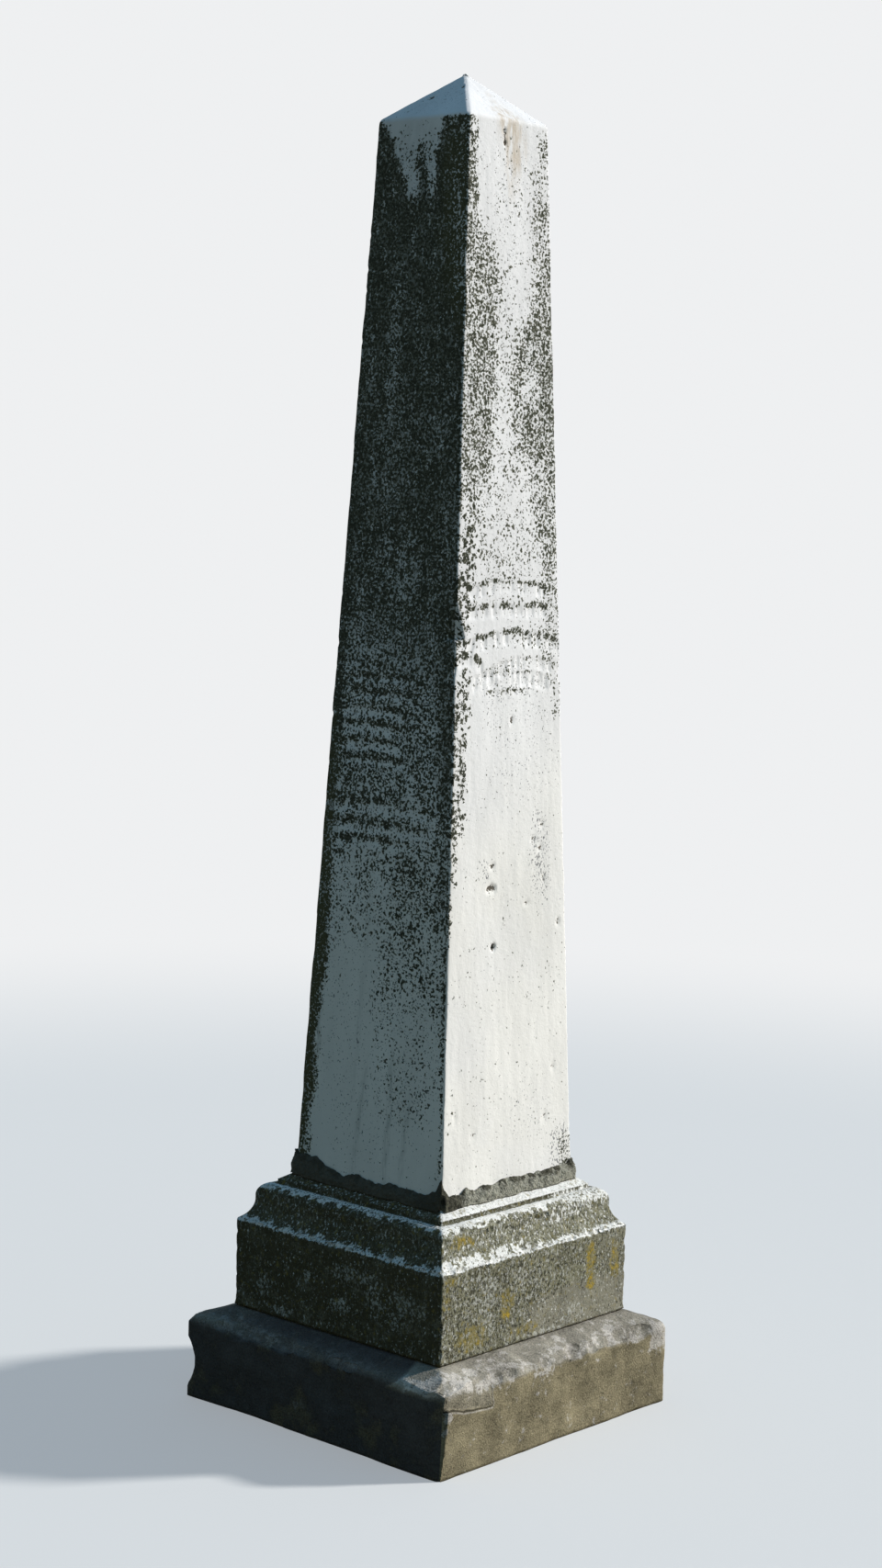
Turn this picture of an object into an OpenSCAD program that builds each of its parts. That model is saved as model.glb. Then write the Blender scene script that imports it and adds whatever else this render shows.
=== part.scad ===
// Weathered marble cemetery obelisk, in millimetres, +Z up.
// A square footing stone carries a moulded base stone, and the base carries a one-piece tapered shaft
// under a low pyramid. Thin mortar beds part the stones, and a fillet of rough mortar is packed round
// the foot of the shaft. The origin is on the shaft's axis, at the underside of the footing.
// +X is the sunlit side with the broken footing edge, and -Y is the shaded side beside it.
// Widths are set from the shaft outwards: the base stands out from the shaft, the footing from the base.

/* [Shaft] */
// Width of the shaft at its foot
shaft_foot_w = 410; // [330:1:520]
// Width of the shaft at its shoulder, below the pyramid
shaft_top_w = 244; // [160:1:320]
// Height of the shaft from its foot to the sharp line of the shoulder
shaft_h = 2135; // [1400:5:2800]
// Height of the pyramid above the shoulder
pyramid_h = 99; // [50:1:200]
// Radius to which the shoulder is worn
shoulder_r = 16; // [4:0.5:30]
// Radius to which the tip of the pyramid is worn
tip_r = 8; // [3:0.5:25]
// Loss at the shaft's four upright edges, measured across the corner
shaft_arris_loss = 4; // [1:0.5:10]

/* [Chip in the shaft's near edge] */
// Height above the shaft's foot of the ledge at the bottom of the chip
chip_z = 1114; // [300:1:1300]
// Height of the chip, from its ledge to where it runs out
chip_h = 60; // [20:1:120]
// Depth of the chip at its ledge, measured across the corner
chip_depth = 11; // [5:0.5:18]
// Turn of the chip from the corner towards the shaded side
chip_turn = 12; // [0:1:30]

/* [Mortar] */
// Thickness of the mortar bed between the base stone and the shaft
shaft_bed_t = 5; // [2:0.5:12]
// Height to which the mortar fillet climbs on the shaft, above the top of the base stone
mortar_rise = 28; // [16:1:60]
// Thickness of the mortar fillet's upper lip
mortar_lip = 4; // [1:0.5:8]
// Width of the wash that is left bare in front of the mortar fillet
mortar_bare = 12; // [3:1:16]
// Thickness of the mortar bed between the footing and the base stone
footing_bed_t = 4; // [2:0.5:12]
// How far that bed is raked back from the face of the die
footing_bed_rake = 6; // [1:1:30]

/* [Base stone] */
// Width of the sloping wash between the foot of the shaft and the top fillet
wash_w = 27; // [25:1:60]
// Rise of the wash
wash_rise = 17; // [4:1:40]
// Height of the top fillet
fillet_h = 7; // [3:0.5:20]
// Width of the narrow ledge at the foot of the top fillet
fillet_ledge = 4; // [1:0.5:15]
// Radius of the round upper part of the moulding
ovolo_r = 28; // [10:1:40]
// Height of the plain band between the round and the hollow parts of the moulding
band_h = 7; // [2:1:30]
// Width of the hollow lower part of the moulding
cove_w = 26; // [16:1:38]
// Height of the hollow lower part of the moulding
cove_h = 42; // [40:1:80]
// Height of the die, the plain lower block of the base, up to its worn upper edge
die_h = 182; // [120:1:320]
// Radius to which the die's upper edge is worn
die_edge_r = 7; // [2:0.5:12]
// Loss at the upright edges of the die, measured across the corner
die_arris_loss = 4; // [1:0.5:12]

/* [Footing stone] */
// How far the footing stands out from the die
footing_step = 66; // [50:1:120]
// Height of the footing stone, down to the lowest ground that it meets
footing_h = 195; // [150:1:320]
// Width of the flat ledge that is left between the die and the worn slope of the footing
footing_ledge = 6; // [1:1:20]
// Fall of the worn slope round the top of the footing
footing_fall = 22; // [5:1:35]
// Radius to which the footing's top edge is worn
footing_edge_r = 22; // [5:1:30]
// Width of the break where a corner has come off the footing, across its top
spall_w = 54; // [20:1:90]
// Slant of that break from the upright
spall_slant = 28; // [10:1:45]
// Length of the flake that has come off the near edge of the footing
flake_l = 150; // [60:1:300]
// How far down from the bed that flake reaches
flake_drop = 62; // [50:1:90]
// Thickness of that flake
flake_t = 4; // [1:0.5:10]

/* [Hidden] */
$fn = 96;

marble_colour = "#e9e6da";
base_colour = "#a3a193";
footing_colour = "#8f8a80";
mortar_colour = "#5c5a52";
bed_colour = "#3f3d34";

// Overlap between shapes that are joined, and the reach of cutters past what they cut
join = 2;
past = 10;

// Points that round out the mortar fillet's face, as shares of its reach past the lip and of its rise
mortar_belly = [[0.85, 0.35], [0.45, 0.75]];

// Half widths, from the shaft outwards
foot_half = shaft_foot_w / 2;
top_half = shaft_top_w / 2;
fillet_half = foot_half + wash_w;
ovolo_half = fillet_half + fillet_ledge;
band_half = ovolo_half + ovolo_r;
die_half = band_half + cove_w;
footing_half = die_half + footing_step;
die_w = 2 * die_half;
footing_w = 2 * footing_half;

// Heights in the base stone, from its underside up
cove_top_z = die_h + cove_h;
ovolo_z = cove_top_z + band_h;
ovolo_top_z = ovolo_z + ovolo_r;
fillet_top_z = ovolo_top_z + fillet_h;
base_h = fillet_top_z + wash_rise;

// Levels in the whole, from the underside of the footing up
base_z = footing_h + footing_bed_t;
seat_z = base_z + base_h;
shaft_z = seat_z + shaft_bed_t;

// Slopes of the shaft's faces and of the wash
batter = (foot_half - top_half) / shaft_h;
wash_slope = wash_rise / wash_w;

// The hollow is an arc that stands upright where it meets the band and runs out through the die's edge
cove_r = (pow(cove_w, 2) + pow(cove_h, 2)) / (2 * cove_w);
cove_x = band_half + cove_r;
// The worn edge of the die is an arc tangent to the die's face and to the hollow
die_edge_x = die_half - die_edge_r;
die_edge_z = cove_top_z - sqrt(pow(cove_r + die_edge_r, 2) - pow(cove_x - die_edge_x, 2));
die_edge_end = die_edge_x + (cove_x - die_edge_x) * die_edge_r / (cove_r + die_edge_r);

function unit(v) = v / norm(v);
// Half of the angle at corner b between its neighbours a and c
function half_angle(a, b, c) = acos(unit(a - b) * unit(c - b)) / 2;
// Centre of an arc of radius r that rounds corner b
function arc_centre(a, b, c, r) = b + unit(unit(a - b) + unit(c - b)) * r / sin(half_angle(a, b, c));
// Where that arc meets the side that runs from b to a
function arc_end(a, b, c, r) = b + unit(a - b) * r / tan(half_angle(a, b, c));

// A convex outline whose corners are rounded, each with its own radius; 0 leaves a corner sharp
module rounded_outline(points, radii) {
    n = len(points);
    function before(i) = points[(i + n - 1) % n];
    function after(i) = points[(i + 1) % n];
    polygon([
        for (i = [0 : n - 1])
            let (a = before(i), b = points[i], c = after(i), r = radii[i])
                each r > 0 ? [arc_end(a, b, c, r), arc_end(c, b, a, r)] : [b]
    ]);
    for (i = [0 : n - 1])
        if (radii[i] > 0)
            translate(arc_centre(before(i), points[i], after(i), radii[i]))
                circle(r = radii[i]);
}

// Stands an outline upright and runs it along Y, centred, for the given length
module run(length) {
    rotate([90, 0, 0])
        linear_extrude(height = length, center = true)
            children();
}

// A stone of square plan: one elevation, cut along both axes, so that its mouldings meet in mitres
module square_stone(width) {
    intersection() {
        run(width + 2 * past) children();
        rotate([0, 0, 90]) run(width + 2 * past) children();
    }
}

// The elevation of the footing: flat bed, worn slope, rounded edge and upright face
module footing_outline() {
    bed_half = die_half + footing_ledge;
    edge_z = footing_h - footing_fall;
    rounded_outline(
        [
            [-footing_half, 0],
            [footing_half, 0],
            [footing_half, edge_z],
            [bed_half, footing_h],
            [-bed_half, footing_h],
            [-footing_half, edge_z]
        ],
        [0, 0, footing_edge_r, 0, 0, footing_edge_r]
    );
}

module footing_stone() {
    color(footing_colour)
        difference() {
            square_stone(footing_w) footing_outline();
            // The far corner of the sunlit side has broken away on a slant
            translate([footing_half, footing_half, footing_h])
                rotate([0, 0, 45])
                    rotate([0, -spall_slant, 0])
                        translate([-spall_w / 2, -footing_half, -footing_half])
                            cube(footing_w);
            // A flake has come off the near edge of the sunlit side
            translate([footing_half - flake_t, -footing_half - past, footing_h - flake_drop])
                cube([flake_t + past, flake_l + past, flake_drop + past]);
        }
}

module footing_bed_joint() {
    bed_w = die_w - 2 * footing_bed_rake;
    color(bed_colour)
        translate([-bed_w / 2, -bed_w / 2, footing_h])
            cube([bed_w, bed_w, footing_bed_t]);
}

// The elevation of the base: die, worn edge, hollow, band, round, top fillet and wash
module base_outline() {
    translate([-die_half, 0]) square([die_w, die_edge_z]);
    for (side = [-1, 1])
        translate([side * die_edge_x, die_edge_z]) circle(r = die_edge_r);
    difference() {
        translate([-die_edge_end, die_edge_z - join])
            square([2 * die_edge_end, cove_top_z - die_edge_z + join]);
        for (side = [-1, 1])
            translate([side * cove_x, cove_top_z]) circle(r = cove_r);
    }
    translate([-band_half, cove_top_z - join]) square([2 * band_half, band_h + join]);
    for (side = [-1, 1])
        translate([side * ovolo_half, ovolo_z]) circle(r = ovolo_r);
    translate([-ovolo_half, ovolo_z - join]) square([2 * ovolo_half, ovolo_r + join]);
    polygon([
        [-fillet_half, ovolo_top_z - join],
        [fillet_half, ovolo_top_z - join],
        [fillet_half, fillet_top_z],
        [foot_half, base_h],
        [-foot_half, base_h],
        [-fillet_half, fillet_top_z]
    ]);
}

module base_stone() {
    across = die_w * sqrt(2) - 2 * die_arris_loss;
    color(base_colour)
        translate([0, 0, base_z])
            intersection() {
                square_stone(die_w) base_outline();
                // The upright edges of the die are worn
                rotate([0, 0, 45])
                    translate([-across / 2, -across / 2, -past])
                        cube([across, across, base_h + 2 * past]);
            }
}

module shaft_bed_joint() {
    color(mortar_colour)
        translate([-foot_half, -foot_half, seat_z])
            cube([shaft_foot_w, shaft_foot_w, shaft_bed_t]);
}

// One side's run of the mortar fillet, on the side that faces +X, cut to mitres at its ends
module mortar_run() {
    spread = wash_w - mortar_bare;
    reach = foot_half + spread;
    // The shaft's face has drawn back by this much at the upper lip
    drawn_back = batter * (mortar_rise - shaft_bed_t);
    lip = foot_half + mortar_lip - drawn_back;
    color(mortar_colour)
        intersection() {
            translate([0, 0, seat_z])
                run(2 * reach + 2 * past)
                    polygon([
                        [foot_half, 0],
                        [reach, -spread * wash_slope],
                        for (share = mortar_belly) [lip + (reach - lip) * share.x, mortar_rise * share.y],
                        [lip, mortar_rise],
                        [foot_half - drawn_back, mortar_rise],
                        [foot_half, shaft_bed_t]
                    ]);
            translate([0, 0, base_z])
                linear_extrude(height = base_h + mortar_rise + past)
                    polygon([[0, 0], [reach + past, -reach - past], [reach + past, reach + past]]);
        }
}

module mortar_front() {
    rotate([0, 0, -90]) mortar_run();
}

module mortar_right() {
    mortar_run();
}

module mortar_back() {
    rotate([0, 0, 90]) mortar_run();
}

module mortar_left() {
    rotate([0, 0, 180]) mortar_run();
}

// The elevation of the shaft, widened by a factor, with a loss taken off each side
module shaft_outline(factor, loss) {
    foot = foot_half * factor - loss;
    top = top_half * factor - loss;
    rounded_outline(
        [
            [-foot, 0],
            [foot, 0],
            [top, shaft_h],
            [0, shaft_h + pyramid_h],
            [-top, shaft_h]
        ],
        [0, 0, shoulder_r, tip_r, shoulder_r]
    );
}

// The chip is hollow like a shell, deepest at its ledge, and runs out upwards
module edge_chip() {
    chip_half = foot_half - batter * chip_z;
    chip_r = (pow(chip_h, 2) + pow(chip_depth, 2)) / (2 * chip_depth);
    translate([chip_half, -chip_half, chip_z])
        rotate([0, 0, -45 - chip_turn])
            intersection() {
                translate([chip_r - chip_depth, 0, 0])
                    rotate([90, 0, 0])
                        cylinder(r = chip_r, h = 2 * chip_r, center = true);
                translate([-chip_r, -chip_r, 0])
                    cube(2 * chip_r);
            }
}

module shaft() {
    color(marble_colour)
        translate([0, 0, shaft_z])
            difference() {
                intersection() {
                    square_stone(shaft_foot_w) shaft_outline(1, 0);
                    // Seen across the corners, the upright edges and the pyramid's hips are worn
                    rotate([0, 0, 45])
                        square_stone(2 * shaft_foot_w) shaft_outline(sqrt(2), shaft_arris_loss);
                }
                edge_chip();
            }
}

footing_stone();
footing_bed_joint();
base_stone();
shaft_bed_joint();
mortar_front();
mortar_right();
mortar_back();
mortar_left();
shaft();
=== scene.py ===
"""Looks of a weathered marble obelisk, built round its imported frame.

The footing, the base, the shaft and the mortar round its foot are modelled as worn and chipped surfaces
inside the frame's solids. Each surface carries named layers of weathering, such as lichen or bare marble,
and the finish of its stone reads them. Sizes are in metres where nothing else is said, with +Z up and the
footing's underside at 0. The sunlit side faces +X, the shaded side beside it faces -Y, and the near edge is
where those two meet.
"""

import itertools
import logging
import math
from dataclasses import dataclass
from enum import Enum

import bpy
import numpy as np
from mathutils import Matrix, Vector
from numpy.typing import NDArray


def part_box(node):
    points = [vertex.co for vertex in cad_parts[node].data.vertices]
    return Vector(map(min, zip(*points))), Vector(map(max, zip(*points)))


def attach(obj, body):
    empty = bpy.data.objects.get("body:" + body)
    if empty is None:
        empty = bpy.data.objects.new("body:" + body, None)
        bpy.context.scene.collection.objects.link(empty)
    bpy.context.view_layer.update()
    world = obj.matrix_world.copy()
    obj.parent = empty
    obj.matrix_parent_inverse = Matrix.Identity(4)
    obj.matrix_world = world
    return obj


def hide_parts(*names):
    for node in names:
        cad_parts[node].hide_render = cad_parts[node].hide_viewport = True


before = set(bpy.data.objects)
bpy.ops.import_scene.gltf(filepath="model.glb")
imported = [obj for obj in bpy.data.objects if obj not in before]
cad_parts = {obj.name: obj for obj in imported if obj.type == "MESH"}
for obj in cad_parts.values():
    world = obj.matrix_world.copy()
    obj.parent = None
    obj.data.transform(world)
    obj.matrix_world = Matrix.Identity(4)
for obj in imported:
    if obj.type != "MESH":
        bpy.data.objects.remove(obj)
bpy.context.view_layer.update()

log = logging.getLogger("obelisk")

Array = NDArray[np.float64]
Edge = tuple[Array, Array, Array]
Socket = bpy.types.NodeSocket
Triple = tuple[float, float, float]
Colour = Triple
Pair = tuple[float, float]

MM = 0.001
ROOT_TWO = math.sqrt(2)
# Factors that spread the lattice's cells, part its patterns and salts and mix them, and the bits kept
HASH_STEPS = (73856093, 19349663, 83492791)
SEED_STEP, SALT_STEP, MIXER = 7919, 104729, 1274126177
HASH_BITS = 0x7FFFFFFF
# Power and scale of the curve that turns a share into deviations
CURVE_POWER, CURVE_SCALE = 0.135, 0.1975
# Specular level of all stone and mortar
STONE_GLOSS = 0.08


class Side(Enum):
    """The four sides of a square stone, counted round from the sunlit one."""

    RIGHT = 0
    BACK = 1
    LEFT = 2
    FRONT = 3


class Measure(Enum):
    """Where a place across a side is measured from, with the stone seen from outside that side."""

    MIDDLE = "middle"
    START = "start"
    END = "end"


RIGHT, BACK, LEFT, FRONT = Side
MIDDLE, START, END = Measure


def smoothstep(low: float | Array, high: float | Array, value: Array) -> Array:
    """Rises smoothly from 0 at low to 1 at high, or falls where low is above high."""
    share = np.clip((value - low) / (high - low), 0, 1)
    return share * share * (3 - 2 * share)


def bell(value: Array, reach: float | Array, power: int = 2) -> Array:
    """Falls smoothly from 1 at 0 to about a third at the reach, on both sides."""
    return np.exp(-((value / reach) ** power))


def place_in_plan(side: Side, out: Array | float, across: Array | float, height: Array | float) -> Array:
    """Points at a distance out from the axis on a side, and at a place across it.

    Args:
        side: The side.
        out: Distance from the axis.
        across: Place across the side.
        height: Height.

    Returns:
        The points, with x, y and z in the last axis.
    """
    turn = side.value * math.pi / 2
    out, across, height = np.broadcast_arrays(out, across, height)
    x = out * math.cos(turn) - across * math.sin(turn)
    y = out * math.sin(turn) + across * math.cos(turn)
    return np.stack([x, y, height], axis=-1)


def level_edges(half: float, height: float, rise: float) -> list[Edge]:
    """The four level edges of a square block.

    Args:
        half: Half of its width.
        height: Height of the edges.
        rise: Rise of the outward direction for each metre out.

    Returns:
        Start, end and outward direction of each edge, in the order of the sides.
    """
    ends = np.array((-half, half))
    return [(*place_in_plan(side, half, ends, height), place_in_plan(side, 1.0, 0.0, rise)) for side in Side]


def upright_edges(low: tuple[float, float], high: tuple[float, float]) -> list[Edge]:
    """The four upright edges of a square block, each at the end of its side.

    Args:
        low: Half width and height of their lower ends.
        high: Half width and height of their upper ends.

    Returns:
        Lower end, upper end and outward direction of each edge, in the order of the sides.
    """
    corners = [[place_in_plan(side, half, half, height) for half, height in (low, high)] for side in Side]
    return [(*ends, place_in_plan(side, 1.0, 1.0, 0.0)) for ends, side in zip(corners, Side)]


@dataclass(frozen=True)
class Grain:
    """Repeatable smooth noise in space, read off a hashed lattice; the seed picks the pattern."""

    seed: int

    def _hashed(self, cells: NDArray[np.int64], salt: int = 0) -> Array:
        """Turns cells of the lattice into numbers.

        Args:
            cells: The cells.
            salt: Picks one of several numbers for each cell.

        Returns:
            A number from 0 to 1 for each cell.
        """
        mixed = sum(cells[..., axis] * step for axis, step in enumerate(HASH_STEPS))
        mixed = (mixed + self.seed * SEED_STEP + salt * SALT_STEP) & HASH_BITS
        mixed = ((mixed ^ (mixed >> 13)) * MIXER) & HASH_BITS
        return (mixed ^ (mixed >> 15)) / HASH_BITS

    def smooth(self, points: Array, size: float | Array) -> Array:
        """One octave of noise.

        Args:
            points: Places in space, in the last axis.
            size: Size of the noise's lumps, in one number or along each axis.

        Returns:
            A number from 0 to 1 for each place.
        """
        scaled = points / np.asarray(size)
        cell = np.floor(scaled).astype(np.int64)
        part = smoothstep(0, 1, scaled - cell)
        total = np.zeros(points.shape[:-1])
        for corner in itertools.product((0, 1), repeat=3):
            weight = np.where(np.array(corner) == 1, part, 1 - part).prod(axis=-1)
            total += weight * self._hashed(cell + np.array(corner))
        return total

    def rough(self, points: Array, size: float | Triple, octaves: int = 3) -> Array:
        """Several octaves of noise, each half the size and half the strength of the last.

        Args:
            points: Places in space, in the last axis.
            size: Size of the largest lumps, in one number or along each axis.
            octaves: How many octaves there are.

        Returns:
            A number from 0 to 1 for each place.
        """
        strengths = [0.5**octave for octave in range(octaves)]
        size = np.asarray(size)
        layers = [Grain(self.seed + 31 * k).smooth(points, size * s) for k, s in enumerate(strengths)]
        return sum(strength * layer for strength, layer in zip(strengths, layers)) / sum(strengths)

    def facets(self, points: Array, size: float) -> Array:
        """Distance to the nearest of scattered seeds, which breaks a surface into shallow shells.

        Args:
            points: Places in space, in the last axis.
            size: Mean distance between the seeds.

        Returns:
            A number from 0 at a seed to about 1 between seeds, for each place.
        """
        scaled = points / size
        cell = np.floor(scaled).astype(np.int64)
        nearest = np.full(points.shape[:-1], 4.0)
        for shift in itertools.product((-1, 0, 1), repeat=3):
            around = cell + np.array(shift)
            seeds = around + np.stack([self._hashed(around, salt) for salt in (1, 2, 3)], axis=-1)
            nearest = np.minimum(nearest, ((scaled - seeds) ** 2).sum(axis=-1))
        return np.sqrt(nearest)


class Outline:
    """A stone's outline from its underside to its top, as half widths and heights, walked in short steps."""

    def __init__(self, half: float, height: float) -> None:
        """Starts the outline at a half width and a height."""
        self.points: list[tuple[float, float]] = [(half, height)]

    def line(self, half: float, height: float, step: float) -> "Outline":
        """Goes straight on to a point.

        Args:
            half: Half width there.
            height: Height there.
            step: Longest step on the way.

        Returns:
            The outline itself, so that its parts follow on one another.
        """
        start, end = np.array(self.points[-1]), np.array((half, height))
        count = max(1, math.ceil(float(np.linalg.norm(end - start)) / step))
        self.points += [tuple(start + (end - start) * share) for share in np.linspace(0, 1, count + 1)[1:]]
        return self

    def arc(self, centre: Pair, radius: float, turn: Pair, step: float) -> "Outline":
        """Follows an arc.

        Args:
            centre: Half width and height of its centre.
            radius: Its radius.
            turn: The angles at which it starts and ends, in degrees from straight outwards.
            step: Longest step on the way.

        Returns:
            The outline itself.
        """
        first, last = np.radians(turn)
        count = max(2, math.ceil(abs(last - first) * radius / step))
        for angle in np.linspace(first, last, count + 1):
            self.points.append((centre[0] + radius * math.cos(angle), centre[1] + radius * math.sin(angle)))
        return self

    def rounded(self, corner: Pair, end: Pair, radius: float, step: float) -> "Outline":
        """Goes to a corner, round it and on towards an end point, where it doesn't yet arrive.

        Args:
            corner: Half width and height of the sharp corner.
            end: The point that the outline heads for behind the corner.
            radius: Radius of the round.
            step: Longest step in the round.

        Returns:
            The outline itself.
        """
        here, at, ahead = (np.array(p) for p in (self.points[-1], corner, end))
        back, on = (here - at) / np.linalg.norm(here - at), (ahead - at) / np.linalg.norm(ahead - at)
        half_angle = math.acos(float(np.clip(back @ on, -1, 1))) / 2
        centre = at + (back + on) / np.linalg.norm(back + on) * radius / math.sin(half_angle)
        reach = radius / math.tan(half_angle)
        turn = [math.degrees(math.atan2(*(at + way * reach - centre)[::-1])) for way in (back, on)]
        return self.arc((float(centre[0]), float(centre[1])), radius, tuple(turn), step)

    def skipped(self) -> Array:
        """The points, without those that repeat the one before."""
        kept = [self.points[0]]
        for point in self.points[1:]:
            if math.dist(point, kept[-1]) > 0.05 * MM:
                kept.append(point)
        return np.array(kept)


class Skin:
    """The worked surface of a square stone: rings of points from its underside to its top.

    Attributes:
        points: Rings, columns and coordinates.
        start: The points as they were cut.
        half: Half width of each ring as it was cut.
        side: Side that each column is on.
        along: Place of each point across its side, from the middle, as it was cut.
        level: Height of each point as it was cut.
        layers: Named layers of weathering, a number for each point.
    """

    def __init__(self, outline: Array, middles: tuple[int, ...], edge: tuple[float, ...]) -> None:
        """Rules an outline round a square stone.

        Args:
            outline: Half widths and heights, from underside to top.
            middles: How many even columns each side has between its edge columns.
            edge: Distances of the edge columns from the edge, in millimetres.
        """
        edge = tuple(distance * MM for distance in edge)
        self.half = outline[:, 0]
        sides, shares, offsets = [], [], []
        for side, middle in enumerate(middles):
            even = np.linspace(-1, 1, middle + 2)[1:-1]
            shares += [-1.0] * len(edge) + list(even) + [1.0] * (len(edge) - 1)
            offsets += list(edge) + list(-even * edge[-1]) + [-distance for distance in edge[:0:-1]]
            sides += [side] * (2 * len(edge) - 1 + middle)
        self.side = np.array(sides)
        close = np.minimum(1, self.half / (3 * edge[-1]))
        self.along = self.half[:, None] * np.array(shares) + close[:, None] * np.array(offsets)
        self.level = np.repeat(outline[:, 1:], len(self.side), axis=1)
        turn = self.side * math.pi / 2
        out = np.stack([np.cos(turn), np.sin(turn)], axis=-1)
        across = np.stack([-np.sin(turn), np.cos(turn)], axis=-1)
        plan = self.half[:, None, None] * out + self.along[..., None] * across
        self.points = np.concatenate([plan, self.level[..., None]], axis=-1)
        self.start = self.points.copy()
        self.layers: dict[str, Array] = {}

    def from_edge(self, measure: Measure) -> Array:
        """Each point's place across its side, measured as asked."""
        half = self.half[:, None]
        return {MIDDLE: self.along, START: half + self.along, END: half - self.along}[measure]

    def on(self, side: Side) -> NDArray[np.bool_]:
        """Which points lie on a side."""
        return np.broadcast_to(self.side == side.value, self.along.shape)

    def sink(self, depth: Array) -> None:
        """Moves each point inwards along the surface's normal.

        Args:
            depth: How far each point goes.
        """
        round_ = np.roll(self.points, -1, axis=1) - np.roll(self.points, 1, axis=1)
        normal = np.cross(round_, np.gradient(self.points, axis=0))
        normal = normal / np.maximum(np.linalg.norm(normal, axis=-1, keepdims=True), 1e-12)
        self.points = self.points - normal * depth[..., None]

    def wear_edges(self, losses: list[Array | float], softness: float) -> None:
        """Takes the upright edges off.

        Args:
            losses: For each edge, from the near one on, the loss across the corner, for all or each ring.
            softness: How round the cut's borders are.
        """
        x, y = self.points[..., 0], self.points[..., 1]
        corner = np.where(x > 0, np.where(y < 0, 0, 1), np.where(y > 0, 2, 3))
        losses = [np.broadcast_to(loss, self.half.shape) for loss in losses]
        loss = np.take_along_axis(np.stack(losses, axis=1), corner, axis=1)
        proud = np.abs(x) + np.abs(y) - 2 * self.half[:, None] + ROOT_TWO * loss
        excess = softness * np.logaddexp(0, proud / softness) / 2
        self.points[..., 0] = x - np.sign(x) * np.minimum(excess, np.abs(x))
        self.points[..., 1] = y - np.sign(y) * np.minimum(excess, np.abs(y))

    def cut(self, normal: Triple, point: Triple, rough: Array | float) -> Array:
        """Breaks the stone off at a rough plane.

        Args:
            normal: The plane's normal, away from the stone.
            point: A point on the plane.
            rough: How far each point of the break lies behind the plane.

        Returns:
            How far each point was moved.
        """
        outwards = np.array(normal) / np.linalg.norm(normal)
        depth = np.maximum((self.points - np.array(point)) @ outwards, 0)
        moved = np.where(depth > 0, depth + rough * smoothstep(0, 4 * MM, depth), 0)
        self.points = self.points - outwards * moved[..., None]
        return moved

    def keep_inside(self, low: Vector, high: Vector) -> None:
        """Holds every point inside a box."""
        self.points = np.clip(self.points, np.array(low), np.array(high))

    def mesh(self, name: str) -> bpy.types.Object:
        """Builds the closed mesh, with its layers as attributes.

        Args:
            name: Name of the piece.

        Returns:
            The new object.
        """
        rings, columns = self.along.shape
        ring, column = np.meshgrid(np.arange(rings - 1), np.arange(columns), indexing="ij")
        corners = [ring * columns + column, ring * columns + (column + 1) % columns]
        corners += [corners[1] + columns, corners[0] + columns]
        quads = np.stack(corners, axis=-1).reshape(-1, 4)
        bottom, top = rings * columns, rings * columns + 1
        first, last = np.arange(columns), (rings - 1) * columns
        following = (first + 1) % columns
        under = np.stack([np.full(columns, bottom), following, first], axis=-1)
        over = np.stack([np.full(columns, top), last + first, last + following], axis=-1)
        caps = [self.points[0].mean(axis=0), self.points[-1].mean(axis=0)]
        vertices = np.concatenate([self.points.reshape(-1, 3), np.array(caps)])
        faces = [*quads.tolist(), *under.tolist(), *over.tolist()]
        layers = {k: np.append(v.ravel(), (v[0].mean(), v[-1].mean())) for k, v in self.layers.items()}
        return make_object(name, vertices, faces, layers)


def make_object(
    name: str, vertices: Array, faces: list[list[int]], layers: dict[str, Array]
) -> bpy.types.Object:
    """Makes a smooth mesh object in the scene.

    Args:
        name: Its name.
        vertices: Its points.
        faces: Its faces, as lists of points.
        layers: Numbers for each point, by attribute name.

    Returns:
        The new object.
    """
    mesh = bpy.data.meshes.new(name)
    mesh.from_pydata(vertices.tolist(), [], faces)
    mesh.polygons.foreach_set("use_smooth", [True] * len(mesh.polygons))
    for layer, values in layers.items():
        attribute = mesh.attributes.new(layer, "FLOAT", "POINT")
        attribute.data.foreach_set("value", values.astype(np.float32))
    mesh.update()
    made = bpy.data.objects.new(name, mesh)
    bpy.context.scene.collection.objects.link(made)
    return made


def settle(piece: bpy.types.Object, node: str, finish: bpy.types.Material) -> bpy.types.Object:
    """Dresses a piece and ties it to the frame.

    Args:
        piece: The piece.
        node: The frame's node that the piece stands for.
        finish: Its material.

    Returns:
        The piece.
    """
    piece.data.materials.append(finish)
    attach(piece, "root")
    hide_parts(node)
    return piece


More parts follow.
